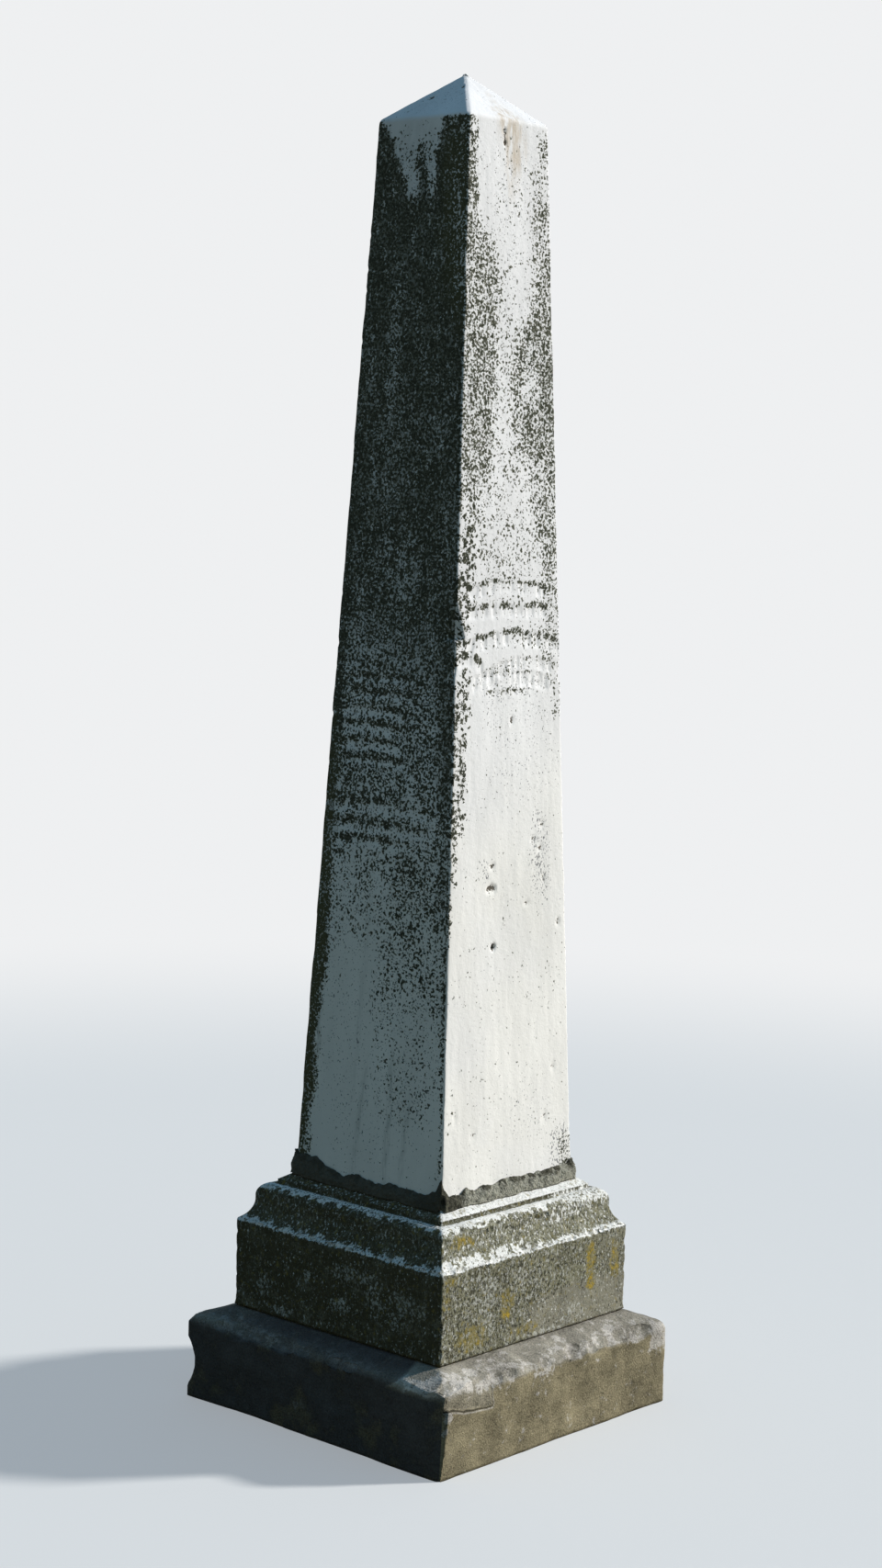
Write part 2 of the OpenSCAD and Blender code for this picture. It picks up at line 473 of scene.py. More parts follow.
@dataclass(frozen=True)
class Patch:
    """A soft-edged patch of weathering on one side of a stone, laid over what is there.

    Attributes:
        side: The side that it is on.
        place: Place of its middle across the side.
        height: Height of its middle.
        wide: Half of its width.
        tall: Half of its height.
        amount: What its layer reads inside it.
        measure: Where its place is measured from.
        soft: Width of its fading edge, as a share of its size.
        ragged: How far its edge strays, as a share of its size.
        lean: Sideways shift for each metre of height.
    """

    side: Side
    place: float
    height: float
    wide: float
    tall: float
    amount: float
    measure: Measure = MIDDLE
    soft: float = 0.8
    ragged: float = 0.5
    lean: float = 0.0

    def laid(self, layer: Array, skin: Skin, grain: Grain) -> Array:
        """A layer with the patch laid over it.

        Args:
            layer: The layer so far.
            skin: The surface.
            grain: Noise for the patch's edge.

        Returns:
            The new layer.
        """
        centre = self.place + self.lean * (skin.level - self.height)
        across = (skin.from_edge(self.measure) - centre) / self.wide
        up = (skin.level - self.height) / self.tall
        reach = (np.abs(across) ** 3 + np.abs(up) ** 3) ** (1 / 3)
        size = 0.7 * min(self.wide, self.tall)
        strayed = reach + 2 * self.ragged * (grain.rough(skin.start, (size, size, 3 * size), 4) - 0.5)
        inside = smoothstep(1 + self.soft / 2, 1 - self.soft / 2, strayed)
        return np.where(skin.on(self.side), layer + (self.amount - layer) * inside, layer)


def painted(skin: Skin, grain: Grain, ground: Array | float, patches: tuple[Patch, ...]) -> Array:
    """Lays patches over a ground in their order.

    Args:
        skin: The surface.
        grain: Noise for the patches' edges.
        ground: What the layer reads where no patch is.
        patches: The patches.

    Returns:
        The layer.
    """
    layer = np.broadcast_to(ground, skin.level.shape).astype(float)
    for patch in patches:
        layer = patch.laid(layer, skin, grain)
    return layer


def deviations(cover: Array) -> Array:
    """Turns a covered share into how many deviations of a noise lie below its threshold."""
    share = np.clip(cover, 0.001, 0.999)
    return (share**CURVE_POWER - (1 - share) ** CURVE_POWER) / CURVE_SCALE


@dataclass(frozen=True)
class Bite:
    """A small hollow broken out of a side.

    Attributes:
        side: The side that it is on.
        place: Place of its middle across the side.
        height: Height of its middle.
        wide: Half of its width, in millimetres.
        tall: Half of its height, in millimetres.
        depth: Its depth, in millimetres.
        lean: 1 where it is deepest under its upper rim, and 0 where it is deepest in the middle.
        soot: How dark its deepest part is painted, from 0 to 1, with dirt and painted shade in the hollow.
    """

    side: Side
    place: float
    height: float
    wide: float
    tall: float
    depth: float
    lean: float = 0.0
    soot: float = 0.0

    def hollow(self, skin: Skin, grain: Grain) -> Array:
        """How much of its depth the bite has at each point of a skin.

        Args:
            skin: The surface.
            grain: Noise for the bite's edge.

        Returns:
            Numbers from 0 to 1.
        """
        wide, tall = self.wide * MM, self.tall * MM
        across = (skin.along - self.place) / wide
        up = (skin.level - self.height) / tall
        reach = np.sqrt(across**2 + up**2) + 0.5 * (grain.smooth(skin.start, 0.7 * min(wide, tall)) - 0.5)
        bowl = np.clip(1 - reach**2, 0, 1)
        rimmed = smoothstep(1, 0.8, reach) * np.clip(0.5 + 0.5 * up, 0, 1)
        return np.where(skin.on(self.side), (1 - self.lean) * bowl + self.lean * rimmed, 0)


@dataclass(frozen=True)
class Scoop:
    """A shell broken off a stone, as if a ball with this centre and radius had been pressed into it."""

    centre: Array
    radius: float

    def take(self, skin: Skin, grain: Grain) -> Array:
        """Moves the points inside the ball to its surface.

        Args:
            skin: The surface.
            grain: Noise that roughens the ball.

        Returns:
            How far each point was moved.
        """
        away = skin.points - self.centre
        distance = np.linalg.norm(away, axis=-1)
        near = distance < 1.2 * self.radius
        reach = np.zeros_like(distance)
        lumps = grain.rough(skin.points[near], 0.45 * self.radius, 2) - 0.5
        strayed = self.radius + min(0.16 * self.radius, 3.5 * MM) * lumps
        reach[near] = np.maximum(strayed - distance[near], 0)
        skin.points = skin.points + away * (reach / np.maximum(distance, 1e-9))[..., None]
        return reach


@dataclass(frozen=True)
class EdgeWear:
    """Shells broken off at random along an edge.

    Attributes:
        count: How many there are.
        radii: Smallest and largest radius.
        depth: Depth of the deepest.
        seed: Seed of the scatter.
        spared: Place along X past which the edge stays whole.
    """

    count: int
    radii: tuple[float, float]
    depth: float
    seed: int
    spared: float = math.inf

    def take(self, skin: Skin, grain: Grain, edge: Edge) -> Array:
        """Breaks the shells off a skin along an edge.

        Args:
            skin: The surface.
            grain: Noise that roughens the shells.
            edge: Its two ends, and the direction away from the stone.

        Returns:
            How far each point was moved.
        """
        draw = np.random.default_rng(self.seed)
        low, high = self.radii
        start, end, outwards = edge
        outwards = outwards / np.linalg.norm(outwards)
        moved = np.zeros_like(skin.level)
        for _ in range(self.count):
            radius = low + (high - low) * draw.random() ** 2
            bite = self.depth * draw.uniform(0.25, 1) * math.sqrt(radius / high)
            turned = outwards + np.clip(draw.normal(0, 0.25, 3), -0.4, 0.4)
            at = start + (end - start) * draw.random()
            centre = at + turned / np.linalg.norm(turned) * (radius - bite)
            if centre[0] < self.spared:
                moved = np.maximum(moved, Scoop(centre, radius).take(skin, grain))
        return moved


def chip_profile(levels: Array, foot: float, length: float, depth: float) -> Array:
    """Depth of a chip in an upright edge, deepest over its lower ledge and running out upwards.

    Args:
        levels: Heights to give the depth at.
        foot: Height of its lower end.
        length: Its length.
        depth: Its depth.

    Returns:
        The depth at each height.
    """
    share = (levels - foot) / length
    inside = (share >= 0) & (share <= 1)
    return np.where(inside, depth * (1 - np.clip(share, 0, 1)), 0)


class Paint:
    """The node tree of a material or a world, written as short steps."""

    def __init__(self, owner: bpy.types.Material | bpy.types.World, place: str = "Object") -> None:
        """Empties the tree of a material or a world.

        Args:
            owner: The material or world.
            place: Name of the coordinates that its noises go by.
        """
        owner.use_nodes = True
        self.owner, self.tree = owner, owner.node_tree
        self.tree.nodes.clear()
        self.place = self.node("TexCoord", {}).outputs[place]

    def node(self, kind: str, inputs: dict[str | int, object], **settings: object) -> bpy.types.Node:
        """Adds a node.

        Args:
            kind: Its type.
            inputs: What its inputs are linked or set to, by name or number, where None leaves one as it is.
            settings: Its own settings, made first.

        Returns:
            The node.
        """
        node = self.tree.nodes.new(f"ShaderNode{kind}")
        for name, value in settings.items():
            setattr(node, name, value)
        for name, value in inputs.items():
            socket = node.inputs[name]
            if isinstance(value, bpy.types.NodeSocket):
                self.tree.links.new(value, socket)
            elif isinstance(value, tuple) and len(socket.default_value) == 4:
                socket.default_value = (*value, 1)
            elif value is not None:
                socket.default_value = value
        return node

    def layer(self, name: str) -> Socket:
        """A layer of weathering that the piece carries."""
        return self.node("Attribute", {}, attribute_name=name).outputs["Fac"]

    def noise(
        self, size: float, detail: float = 2, roughness: float = 0.5, tall: float = 1, seed: float = 0
    ) -> Socket:
        """Noise with lumps of a given size.

        Args:
            size: Size of the lumps.
            detail: Octaves of finer noise on top.
            roughness: Strength of the finer noise.
            tall: How many times taller than wide the lumps are.
            seed: Picks another pattern.

        Returns:
            A socket with numbers about 0.5, that stray from it by about 0.07.
        """
        drawn = self.node("VectorMath", {0: self.place, 1: (1, 1, 1 / tall)}, operation="MULTIPLY").outputs[0]
        inputs = {"Vector": drawn, "W": seed, "Scale": 1 / size, "Detail": detail, "Roughness": roughness}
        return self.node("TexNoise", inputs, noise_dimensions="4D").outputs["Fac"]

    def cells(self, size: float) -> Socket:
        """Distance from scattered seeds, from 0 at a seed upwards."""
        return self.node("TexVoronoi", {"Vector": self.place, "Scale": 1 / size}).outputs["Distance"]

    def calc(self, operation: str, first: object, second: object = 0.0) -> Socket:
        """One step of arithmetic on numbers or sockets."""
        return self.node("Math", {0: first, 1: second}, operation=operation).outputs[0]

    def times(self, first: object, second: object) -> Socket:
        """The product of two numbers or sockets."""
        return self.calc("MULTIPLY", first, second)

    def minus(self, first: object, second: object) -> Socket:
        """The first number or socket, less the second."""
        return self.calc("SUBTRACT", first, second)

    def total(self, *parts: tuple[object, float]) -> Socket:
        """A weighted sum of numbers or sockets.

        Args:
            parts: Each number or socket, and its weight.

        Returns:
            The sum.
        """
        result = self.times(*parts[0])
        for part, weight in parts[1:]:
            result = self.calc("ADD", result, self.times(part, weight))
        return result

    def ramp(self, value: object, low: float, high: float, most: float = 1.0) -> Socket:
        """Rises smoothly from 0 at low to most at high, or falls where low is above high.

        Args:
            value: The number or socket that is looked at.
            low: Where the result is 0.
            high: Where the result is at its most.
            most: The largest result.

        Returns:
            The result.
        """
        inputs = {"Value": value, "From Min": min(low, high), "From Max": max(low, high)}
        inputs["To Min"], inputs["To Max"] = (most, 0.0) if low > high else (0.0, most)
        return self.node("MapRange", inputs, interpolation_type="SMOOTHSTEP").outputs["Result"]

    def lifted(self, layer: str, pattern: Socket, spread: float) -> Socket:
        """Raises a noise pattern with this deviation by a layer that counts in deviations."""
        return self.calc("ADD", self.calc("DIVIDE", self.minus(pattern, 0.5), spread), self.layer(layer))

    def blend(self, under: object, over: object, share: object) -> Socket:
        """Lays one colour over another by a share."""
        return self.node("Mix", {0: share, 6: under, 7: over}, data_type="RGBA").outputs[2]

    def ramped(
        self, under: object, over: object, value: object, low: float, high: float, most: float = 1.0
    ) -> Socket:
        """Lays one colour over another by the ramp of a value."""
        return self.blend(under, over, self.ramp(value, low, high, most))

    def shade(self, colour: Socket, *parts: tuple[object, float]) -> Socket:
        """Makes a colour lighter or darker by a weighted sum."""
        return self.node("VectorMath", {0: colour, "Scale": self.total(*parts)}, operation="SCALE").outputs[0]

    def relief(self, *bumps: tuple[Socket, float]) -> Socket:
        """Relief in the surface's normal.

        Args:
            bumps: Heights and their depths, each on top of the one before.

        Returns:
            The normal.
        """
        normal = None
        for height, depth in bumps:
            inputs = {"Distance": depth, "Height": height, "Normal": normal}
            normal = self.node("Bump", inputs).outputs["Normal"]
        return normal

    def looked_at(self) -> Socket:
        """1 where the camera, a gloss or a clear material looks at it."""
        paths = self.node("LightPath", {}).outputs
        seen = self.calc("MAXIMUM", paths["Is Camera Ray"], paths["Is Glossy Ray"])
        return self.calc("MAXIMUM", seen, paths["Is Transmission Ray"])

    def mixed(self, share: Socket, first: bpy.types.Node, second: bpy.types.Node) -> Socket:
        """Mixes two shaders by a share of the second."""
        return self.node("MixShader", {0: share, 1: first.outputs[0], 2: second.outputs[0]}).outputs[0]

    def done(self, colour: Socket, roughness: object, normal: Socket) -> bpy.types.Material:
        """Ends a material in one stone-like shader.

        Args:
            colour: Base colour.
            roughness: Roughness.
            normal: Normal with its relief.

        Returns:
            The material.
        """
        inputs = {"Base Color": colour, "Roughness": roughness, "Normal": normal}
        inputs["Specular IOR Level"] = STONE_GLOSS
        self.node("OutputMaterial", {"Surface": self.node("BsdfPrincipled", inputs).outputs["BSDF"]})
        return self.owner


@dataclass(frozen=True)
class ShaftMarbleFinish:
    """White marble, brushed by rain, with speckled lichen where the layers say, and dirt and painted shade in
    its hollows and cracks.
    """

    white: Colour = (0.832, 0.814, 0.810)
    cream: Colour = (0.868, 0.838, 0.790)
    tan: Colour = (0.46, 0.34, 0.20)
    soot: Colour = (0.07, 0.055, 0.035)
    speck: Colour = (0.14, 0.14, 0.15)
    grime: Colour = (0.42, 0.42, 0.39)
    film: Colour = (0.185, 0.190, 0.170)
    lichen: Colour = (0.200, 0.196, 0.148)
    lichen_dark: Colour = (0.040, 0.043, 0.030)
    moss: Colour = (0.095, 0.092, 0.045)

    def build(self) -> bpy.types.Material:
        """Makes the material."""
        paint = Paint(bpy.data.materials.new("shaft_marble"))
        layer, noise, ramp, times = paint.layer, paint.noise, paint.ramp, paint.times
        brushed = noise(5 * MM, 3, 0.6, tall=8)
        cloud = noise(0.1, 3, 0.5, tall=3)
        marble = paint.blend(self.white, self.cream, layer("cream"))
        marble = paint.shade(marble, (brushed, 0.06), (cloud, 0.34), (1.0, 0.80))
        weeping = ramp(noise(11 * MM, 4, 0.6, tall=5), 0.36, 0.62)
        marble = paint.blend(marble, self.tan, times(layer("stain"), weeping))
        marble = paint.blend(marble, self.grime, times(layer("drip"), ramp(brushed, 0.35, 0.6)))
        specks = paint.lifted("specks", noise(3.6 * MM, 2, tall=1.6, seed=5), 0.071)
        marble = paint.ramped(marble, self.speck, specks, 0.0, 0.35, 0.85)
        marble = paint.ramped(marble, self.grime, layer("lichen"), -0.8, 1.6, 0.30)
        veil = ramp(noise(13 * MM, 3, 0.65, tall=2.6, seed=11), 0.32, 0.56)
        marble = paint.blend(marble, self.film, times(layer("film"), veil))
        fine = paint.blend(noise(5 * MM, 2), noise(9.5 * MM, 2, seed=17), layer("coarse"))
        clump = noise(24 * MM, 2, tall=1.2, seed=3)
        worms = paint.calc("ABSOLUTE", paint.minus(noise(10 * MM, 2, seed=21), 0.5))
        worms = paint.calc("POWER", worms, 0.5)
        pattern = paint.total((fine, 0.66), (worms, 0.52), (clump, 0.20), (1.0, -0.044))
        growth = paint.lifted("lichen", pattern, 0.068)
        shown = ramp(growth, -0.10, 0.12)
        dark = ramp(noise(4 * MM, 2, seed=8), 0.42, 0.6)
        tone = paint.total((ramp(growth, 0.1, 1.5), 0.75), (dark, 0.35), (layer("coarse"), 0.2))
        crust = paint.blend(paint.blend(self.lichen, self.lichen_dark, tone), self.moss, layer("moss"))
        colour = paint.blend(marble, crust, shown)
        # Dirt and painted shade, darkest in the hollows and along the cracks
        worn = paint.total((noise(4 * MM, 2, seed=19), 5.0), (layer("soot"), 1.0), (1.0, -2.5))
        colour = paint.ramped(colour, self.soot, worn, 0.0, 0.3, 0.92)
        lumps = noise(9 * MM, 3, 0.6, seed=13)
        normal = paint.relief((brushed, 0.15 * MM), (lumps, 0.9 * MM), (shown, 0.7 * MM))
        return paint.done(colour, paint.total((shown, 0.15), (brushed, 0.2), (1.0, 0.70)), normal)


@dataclass(frozen=True)
class BaseMarbleFinish:
    """Base marble under an olive-grey crust, washed white on its ledges, with yellow lichen, painted shade in
    its pits and along its top fillet's face.
    """

    crust: Colour = (0.194, 0.186, 0.121)
    smooth: Colour = (0.232, 0.218, 0.167)
    pit_shade: Colour = (0.046, 0.044, 0.030)
    bare: Colour = (0.84, 0.825, 0.79)
    pale: Colour = (0.47, 0.465, 0.42)
    moss: Colour = (0.058, 0.055, 0.031)
    gold: Colour = (0.44, 0.30, 0.035)
    olive: Colour = (0.24, 0.195, 0.060)

    def build(self) -> bpy.types.Material:
        """Makes the material."""
        paint = Paint(bpy.data.materials.new("base_marble"))
        layer, noise, ramp, times = paint.layer, paint.noise, paint.ramp, paint.times
        cloud = noise(45 * MM, 4, 0.6)
        grit = noise(3.2 * MM, 3, 0.6, tall=1.3)
        crust = paint.blend(self.crust, self.smooth, layer("smooth"))
        rough = times(paint.minus(grit, 0.5), paint.total((layer("smooth"), -2.4), (1.0, 3.4)))
        crust = paint.shade(crust, (rough, 1.0), (cloud, 1.6), (1.0, 0.2))
        # Pits: a bump down, and painted shade that darkens them
        pits = ramp(paint.lifted("pits", noise(3.8 * MM, 2, tall=1.7, seed=2), 0.071), -0.1, 0.3)
        crust = paint.blend(crust, self.pit_shade, times(pits, 0.92))
        crust = paint.blend(crust, self.moss, times(layer("moss"), ramp(cloud, 0.26, 0.50)))
        blotch = paint.lifted("pale", noise(6 * MM, 5, 0.74, tall=1.3, seed=4), 0.055)
        crust = paint.ramped(crust, self.pale, blotch, 0.0, 1.1, 0.9)
        cleared = paint.lifted("bare", noise(5 * MM, 4, 0.62, tall=1.6, seed=6), 0.058)
        crust = paint.ramped(crust, self.pale, cleared, -1.7, 0.2, 0.5)
        washed = ramp(cleared, -0.1, 0.4)
        white = paint.ramped(self.bare, self.pale, grit, 0.54, 0.66, 0.8)
        colour = paint.blend(crust, paint.shade(white, (cloud, 0.6), (1.0, 0.70)), washed)
        golden = paint.lifted("gold", noise(12 * MM, 5, 0.62, seed=9), 0.058)
        colour = paint.ramped(colour, self.olive, golden, -2.2, 0.4, 0.7)
        colour = paint.ramped(colour, self.gold, golden, 0.0, 2.6, 0.85)
        normal = paint.relief((cloud, 3 * MM), (grit, 1.6 * MM), (pits, -2 * MM))
        return paint.done(colour, paint.total((washed, -0.15), (1.0, 0.88)), normal)


@dataclass(frozen=True)
class LimestoneFinish:
    """Warm grey limestone: purplish where it is worn, tan under its edge, pale where it has broken, dark with
    dampness and painted shade on its shaded sides, with a painted shadow and a painted highlight along the
    flake.
    """

    worn: Colour = (0.270, 0.247, 0.203)
    under: Colour = (0.232, 0.197, 0.124)
    broken: Colour = (0.48, 0.445, 0.405)
    crack_and_shadow: Colour = (0.060, 0.052, 0.036)
    damp: Colour = (0.058, 0.057, 0.057)

    def build(self) -> bpy.types.Material:
        """Makes the material."""
        paint = Paint(bpy.data.materials.new("footing_limestone"))
        layer, noise, ramp, times = paint.layer, paint.noise, paint.ramp, paint.times
        cloud = noise(75 * MM, 6, 0.62)
        grit = noise(3.5 * MM, 3, 0.65)
        brushed = noise(26 * MM, 4, 0.6, tall=0.3, seed=7)
        stone = paint.blend(self.worn, self.under, layer("under"))
        fresh = paint.lifted("broken", noise(22 * MM, 6, 0.70, seed=3), 0.056)
        stone = paint.ramped(stone, self.broken, fresh, -0.5, 1.1, 0.85)
        pits = ramp(noise(7 * MM, 4, 0.7, tall=0.8, seed=12), 0.60, 0.66)
        stone = paint.blend(stone, self.crack_and_shadow, times(pits, ramp(layer("broken"), -1.5, 0.5, 0.9)))
        # Dampness and painted shade on the shaded sides, broken up by the cloud
        stone = paint.blend(stone, self.damp, times(layer("damp"), ramp(cloud, 0.30, 0.50)))
        # Along the flake: a dark line at its edge, cracks with a painted shadow under the flake, and below it
        # a painted highlight on its ledge, in the broken colour
        off = layer("flake")
        ledge = paint.calc("ABSOLUTE", paint.minus(off, 3.4))
        stone = paint.ramped(stone, self.broken, ledge, 2.4, 0.8, 0.5)
        stone = paint.ramped(stone, self.crack_and_shadow, paint.calc("ABSOLUTE", off), 2.2, 0.8, 0.95)
        colour = paint.shade(stone, (grit, 2.2), (cloud, 2.4), (brushed, 0.7), (1.0, -1.65))
        return paint.done(colour, 0.9, paint.relief((cloud, 6 * MM), (grit, 1.8 * MM)))


@dataclass(frozen=True)
class MortarFinish:
    """Coarse grey mortar with pale grit and dark growth, darkened by dampness and painted shade where its
    layer says.
    """

    name: str
    body: Colour
    grit: Colour
    growth: Colour
    damp: Colour = (0.072, 0.069, 0.053)

    def build(self) -> bpy.types.Material:
        """Makes the material."""
        paint = Paint(bpy.data.materials.new(self.name))
        lumps = paint.noise(10 * MM, 4, 0.65)
        sand = paint.cells(3.5 * MM)
        grown = paint.total((paint.ramp(lumps, 0.50, 0.62), 0.75), (paint.layer("growth"), 1.6))
        body = paint.blend(self.body, self.growth, paint.calc("MINIMUM", grown, 0.95))
        body = paint.shade(body, (lumps, 5.0), (1.0, -1.45))
        loose = paint.ramp(paint.layer("growth"), 1.2, 0.0)
        colour = paint.blend(body, self.grit, paint.times(paint.ramp(sand, 0.32, 0.12, 0.75), loose))
        # Dampness and painted shade, by the run's side
        colour = paint.blend(colour, self.damp, paint.times(paint.layer("damp"), 0.85))
        return paint.done(colour, 0.95, paint.relief((lumps, 7 * MM), (sand, 1.2 * MM)))


def on_sides(kind: type, rows: dict[Side, tuple[tuple, ...]]) -> tuple:
    """Makes marks of one kind from rows; a row follows the kind's fields after the side."""
    return tuple(kind(side, *row) for side, group in rows.items() for row in group)


FOOTING_HOLLOWS = on_sides(Bite, {
    FRONT: (
        (-0.18, 0.04, 120, 60, 5), (0.1, 0.11, 120, 50, 5),
    ),
    RIGHT: (
        (0.06, 0.06, 90, 40, 4),
    ),
    BACK: (
        (-0.1, 0.12, 110, 45, 6),
    ),
})

# Pale places on the footing's worn slope and faces. On the shaded side, the pale patch by the near edge leans
# so that its left border follows the die's cast shadow: pale worn stone with a painted shadow edge
FOOTING_PALE = on_sides(Patch, {
    RIGHT: (
        (-0.26, 0.177, 0.1, 0.013, 0.8, MIDDLE, 0.4), (-0.16, 0.186, 0.04, 0.012, 0.6),
        (0.02, 0.178, 0.05, 0.014, 0.55), (0.2, 0.18, 0.08, 0.014, 0.55), (-0.05, 0.135, 0.03, 0.03, 0.45),
        (-0.345, 0.13, 0.02, 0.03, 0.6), (0.335, 0.15, 0.03, 0.04, 0.97),
    ),
    FRONT: (
        (-0.2, 0.18, 0.1, 0.014, 0.55), (0.05, 0.182, 0.09, 0.012, 0.5),
        (0.364, 0.182, 0.09, 0.022, 0.95, MIDDLE, 0.2, 0.08, 2),
        (-0.1, 0.06, 0.12, 0.012, 0.25, MIDDLE, 0.8, 0.5, 0.3),
    ),
})


@dataclass
class FootingStone:
    """The bottom slab, worn round its top, flaked at its near edge and spalled at its far right corner.

    Attributes:
        half: Half of its width.
        height: Its height.
        bed_half: Half width of its flat bed.
        fall: Fall of the worn slope round the bed.
        edge_r: Radius of its worn top edge.
        kept_from: Place along X past which the shaded side's top edge stays whole.
        spall: Half width of the spalled corner.
        spall_slant: Slant of the spall from the upright, in degrees.
        flake_length: Length of the flake lost at the near edge.
        flake_drop: How far down from the bed the flake reached.
        flake_depth: Thickness of the flake.
        dish_r: Radius of the broad dish worn into the far left edge.
        slope_break: Normal and point of the shallow break on the shaded slope by the near edge.
        edge_break: Normal and point of the break across the top of the near edge.
        sun_end: Where sun ends on the shaded slope: place from its end, height, and lean for each metre up.
        grain: Noise of the stone.
    """

    half: float
    height: float
    bed_half: float
    fall: float = 22 * MM
    edge_r: float = 22 * MM
    kept_from: float = 0.19
    spall: float = 27 * MM
    spall_slant: float = 28.0
    flake_length: float = 150 * MM
    flake_drop: float = 62 * MM
    flake_depth: float = 4 * MM
    dish_r: float = 90 * MM
    slope_break: tuple[Triple, Triple] = ((0.06, -0.43, 1.0), (0.290, -0.356, 0.1690))
    edge_break: tuple[Triple, Triple] = ((0.62, -0.16, 0.77), (0.356, -0.356, 0.148))
    sun_end: Triple = (0.114, 0.173, 2.2)
    grain: Grain = Grain(11)

    def _outline(self) -> Array:
        """The elevation, from the middle of the underside to the middle of the bed."""
        corner = (self.half, self.height - self.fall)
        bed = (self.bed_half, self.height)
        outline = Outline(0.25 * self.half, 0.0).line(self.half, 0.0, 60 * MM)
        outline.line(self.half, 0.11, 7 * MM).line(self.half, corner[1] - self.edge_r, 3.5 * MM)
        outline.rounded(corner, bed, self.edge_r, 2.8 * MM)
        outline.line(*bed, 3.6 * MM).line(self.bed_half - 14 * MM, self.height, 5 * MM)
        return outline.line(0.2 * self.bed_half, self.height, 60 * MM).skipped()

    def _break_edges(self, skin: Skin) -> Array:
        """Breaks shells off the slab's edges.

        Args:
            skin: The surface.

        Returns:
            How far each point was moved.
        """
        inset = (1 - 1 / ROOT_TWO) * self.edge_r
        edge_z = self.height - self.fall - 0.7 * inset
        moved = np.zeros_like(skin.level)
        for side, (start, end, outwards) in zip(Side, level_edges(self.half - inset, edge_z, 0.75)):
            run = 0.13 * (end - start)
            count = 20 if side is RIGHT else 14
            spared = self.kept_from if side is FRONT else math.inf
            wear = EdgeWear(count, (40 * MM, 120 * MM), 4 * MM, 90 + side.value, spared)
            moved = np.maximum(moved, wear.take(skin, self.grain, (start + run, end - run, outwards)))
        inset = self.half - 2 * MM
        for side, edge in zip(Side, upright_edges((inset, 0.0), (inset, 0.75 * edge_z))):
            if side is not LEFT:
                wear = EdgeWear(9, (14 * MM, 60 * MM), 3.5 * MM, 70 + side.value)
                moved = np.maximum(moved, wear.take(skin, self.grain, edge))
        away = np.array((-1, -1, 0)) / ROOT_TWO * (self.dish_r - 17 * MM)
        Scoop(np.array((-self.half, -self.half, 0.075)) + away, self.dish_r).take(skin, self.grain)
        return moved

    def _wear(self, skin: Skin) -> None:
        """Breaks, flakes and roughens the slab.

        Args:
            skin: The surface.
        """
        grain, places = self.grain, skin.start
        skin.wear_edges([loss * MM for loss in (2, 4, 4, 0.4)], 3 * MM)
        rough = 5 * MM * grain.rough(places, 30 * MM, 3)
        skin.cut((0.5, -0.87, 0.1), (self.half, -self.half + 14 * MM, 0.08), rough)
        for drop, tilt in ((6 * MM, 0.22), (15 * MM, 0.60)):
            skin.cut((-tilt, -tilt, 1.0), (-self.half, -self.half, self.height - self.fall - drop), 0.0)
        moved = self._break_edges(skin)
        out = np.abs(places[..., :2]).max(axis=-1)
        open_bed = smoothstep(self.bed_half - 12 * MM, self.bed_half + 2 * MM, out)
        depth = 4 * MM * grain.rough(places, 0.12, 3) + 1.2 * MM * grain.rough(places, 16 * MM, 3)
        rim = bell(skin.level - (self.height - self.fall - 2 * MM), 14 * MM)
        depth += (1.6 * MM + 2 * MM * rim) * grain.facets(places, 40 * MM)
        for hollow in FOOTING_HOLLOWS:
            depth += hollow.depth * MM * hollow.hollow(skin, grain)
        # Smoother at the far left corner and on the shaded side by the near edge
        depth *= 1 - 0.95 * bell(np.hypot(places[..., 0] + self.half, places[..., 1] + self.half), 80 * MM)
        depth *= 1 - 0.95 * bell(np.hypot(places[..., 0] - 0.275, places[..., 1] + 0.35), 90 * MM, 4)
        skin.sink(depth * open_bed)
        skin.points[..., 2] = np.where(skin.level < 1 * MM, 0.0, skin.points[..., 2])
        foot = int(np.flatnonzero(skin.level[:, 0] < 1 * MM)[-1])
        skin.points[foot, :, :2] = skin.points[foot + 1, :, :2]
        slant = math.radians(self.spall_slant)
        diagonal = math.cos(slant) / ROOT_TWO
        rough = 7 * MM * grain.facets(places, 24 * MM) * open_bed
        edge = self.half - self.spall / ROOT_TWO
        spalled = skin.cut((diagonal, diagonal, math.sin(slant)), (edge, edge, self.height), rough)
        self._flake(skin)
        cover = 0.015 + 0.20 * rim * open_bed + 0.3 * smoothstep(0.5 * MM, 4 * MM, moved)
        skin.cut(*self.slope_break, 0.1 * rough)
        near = skin.cut(*self.edge_break, 0.6 * rough)
        cover = np.maximum(cover, 0.9 * smoothstep(0, 3 * MM, spalled) + 0.8 * smoothstep(0, 4 * MM, near))
        skin.layers["broken"] = deviations(painted(skin, grain, cover, FOOTING_PALE))

    def _flake(self, skin: Skin) -> None:
        """Takes the flake off the near edge of the sunlit side.

        Args:
            skin: The surface.
        """
        grain, place = self.grain, skin.from_edge(START)
        floor = self.height - self.flake_drop + 10 * MM * (grain.rough(skin.start, 40 * MM, 3) - 0.3)
        floor = floor - 0.12 * place
        end = self.flake_length + 30 * MM * (grain.rough(skin.start, 30 * MM, 3) - 0.5)
        inside = smoothstep(0, 2 * MM, skin.level - floor) * smoothstep(end + 2 * MM, end - 50 * MM, place)
        deep = np.maximum(skin.points[..., 0] - (self.half - 2.4 * self.flake_depth), 0) * inside
        beside, below = place - end, floor - skin.level
        off = np.maximum(beside, below) / MM + np.where(beside > below, 1.6 * np.sign(beside), 0)
        off = np.where(skin.on(RIGHT), off * (1 + 12 * smoothstep(0.158, 0.168, skin.level)), 20)
        skin.points[..., 0] -= np.where(skin.on(RIGHT), deep, 0) + 1.5 * MM * bell(off, 2.5)
        skin.layers["flake"] = np.clip(off, -20, 20)

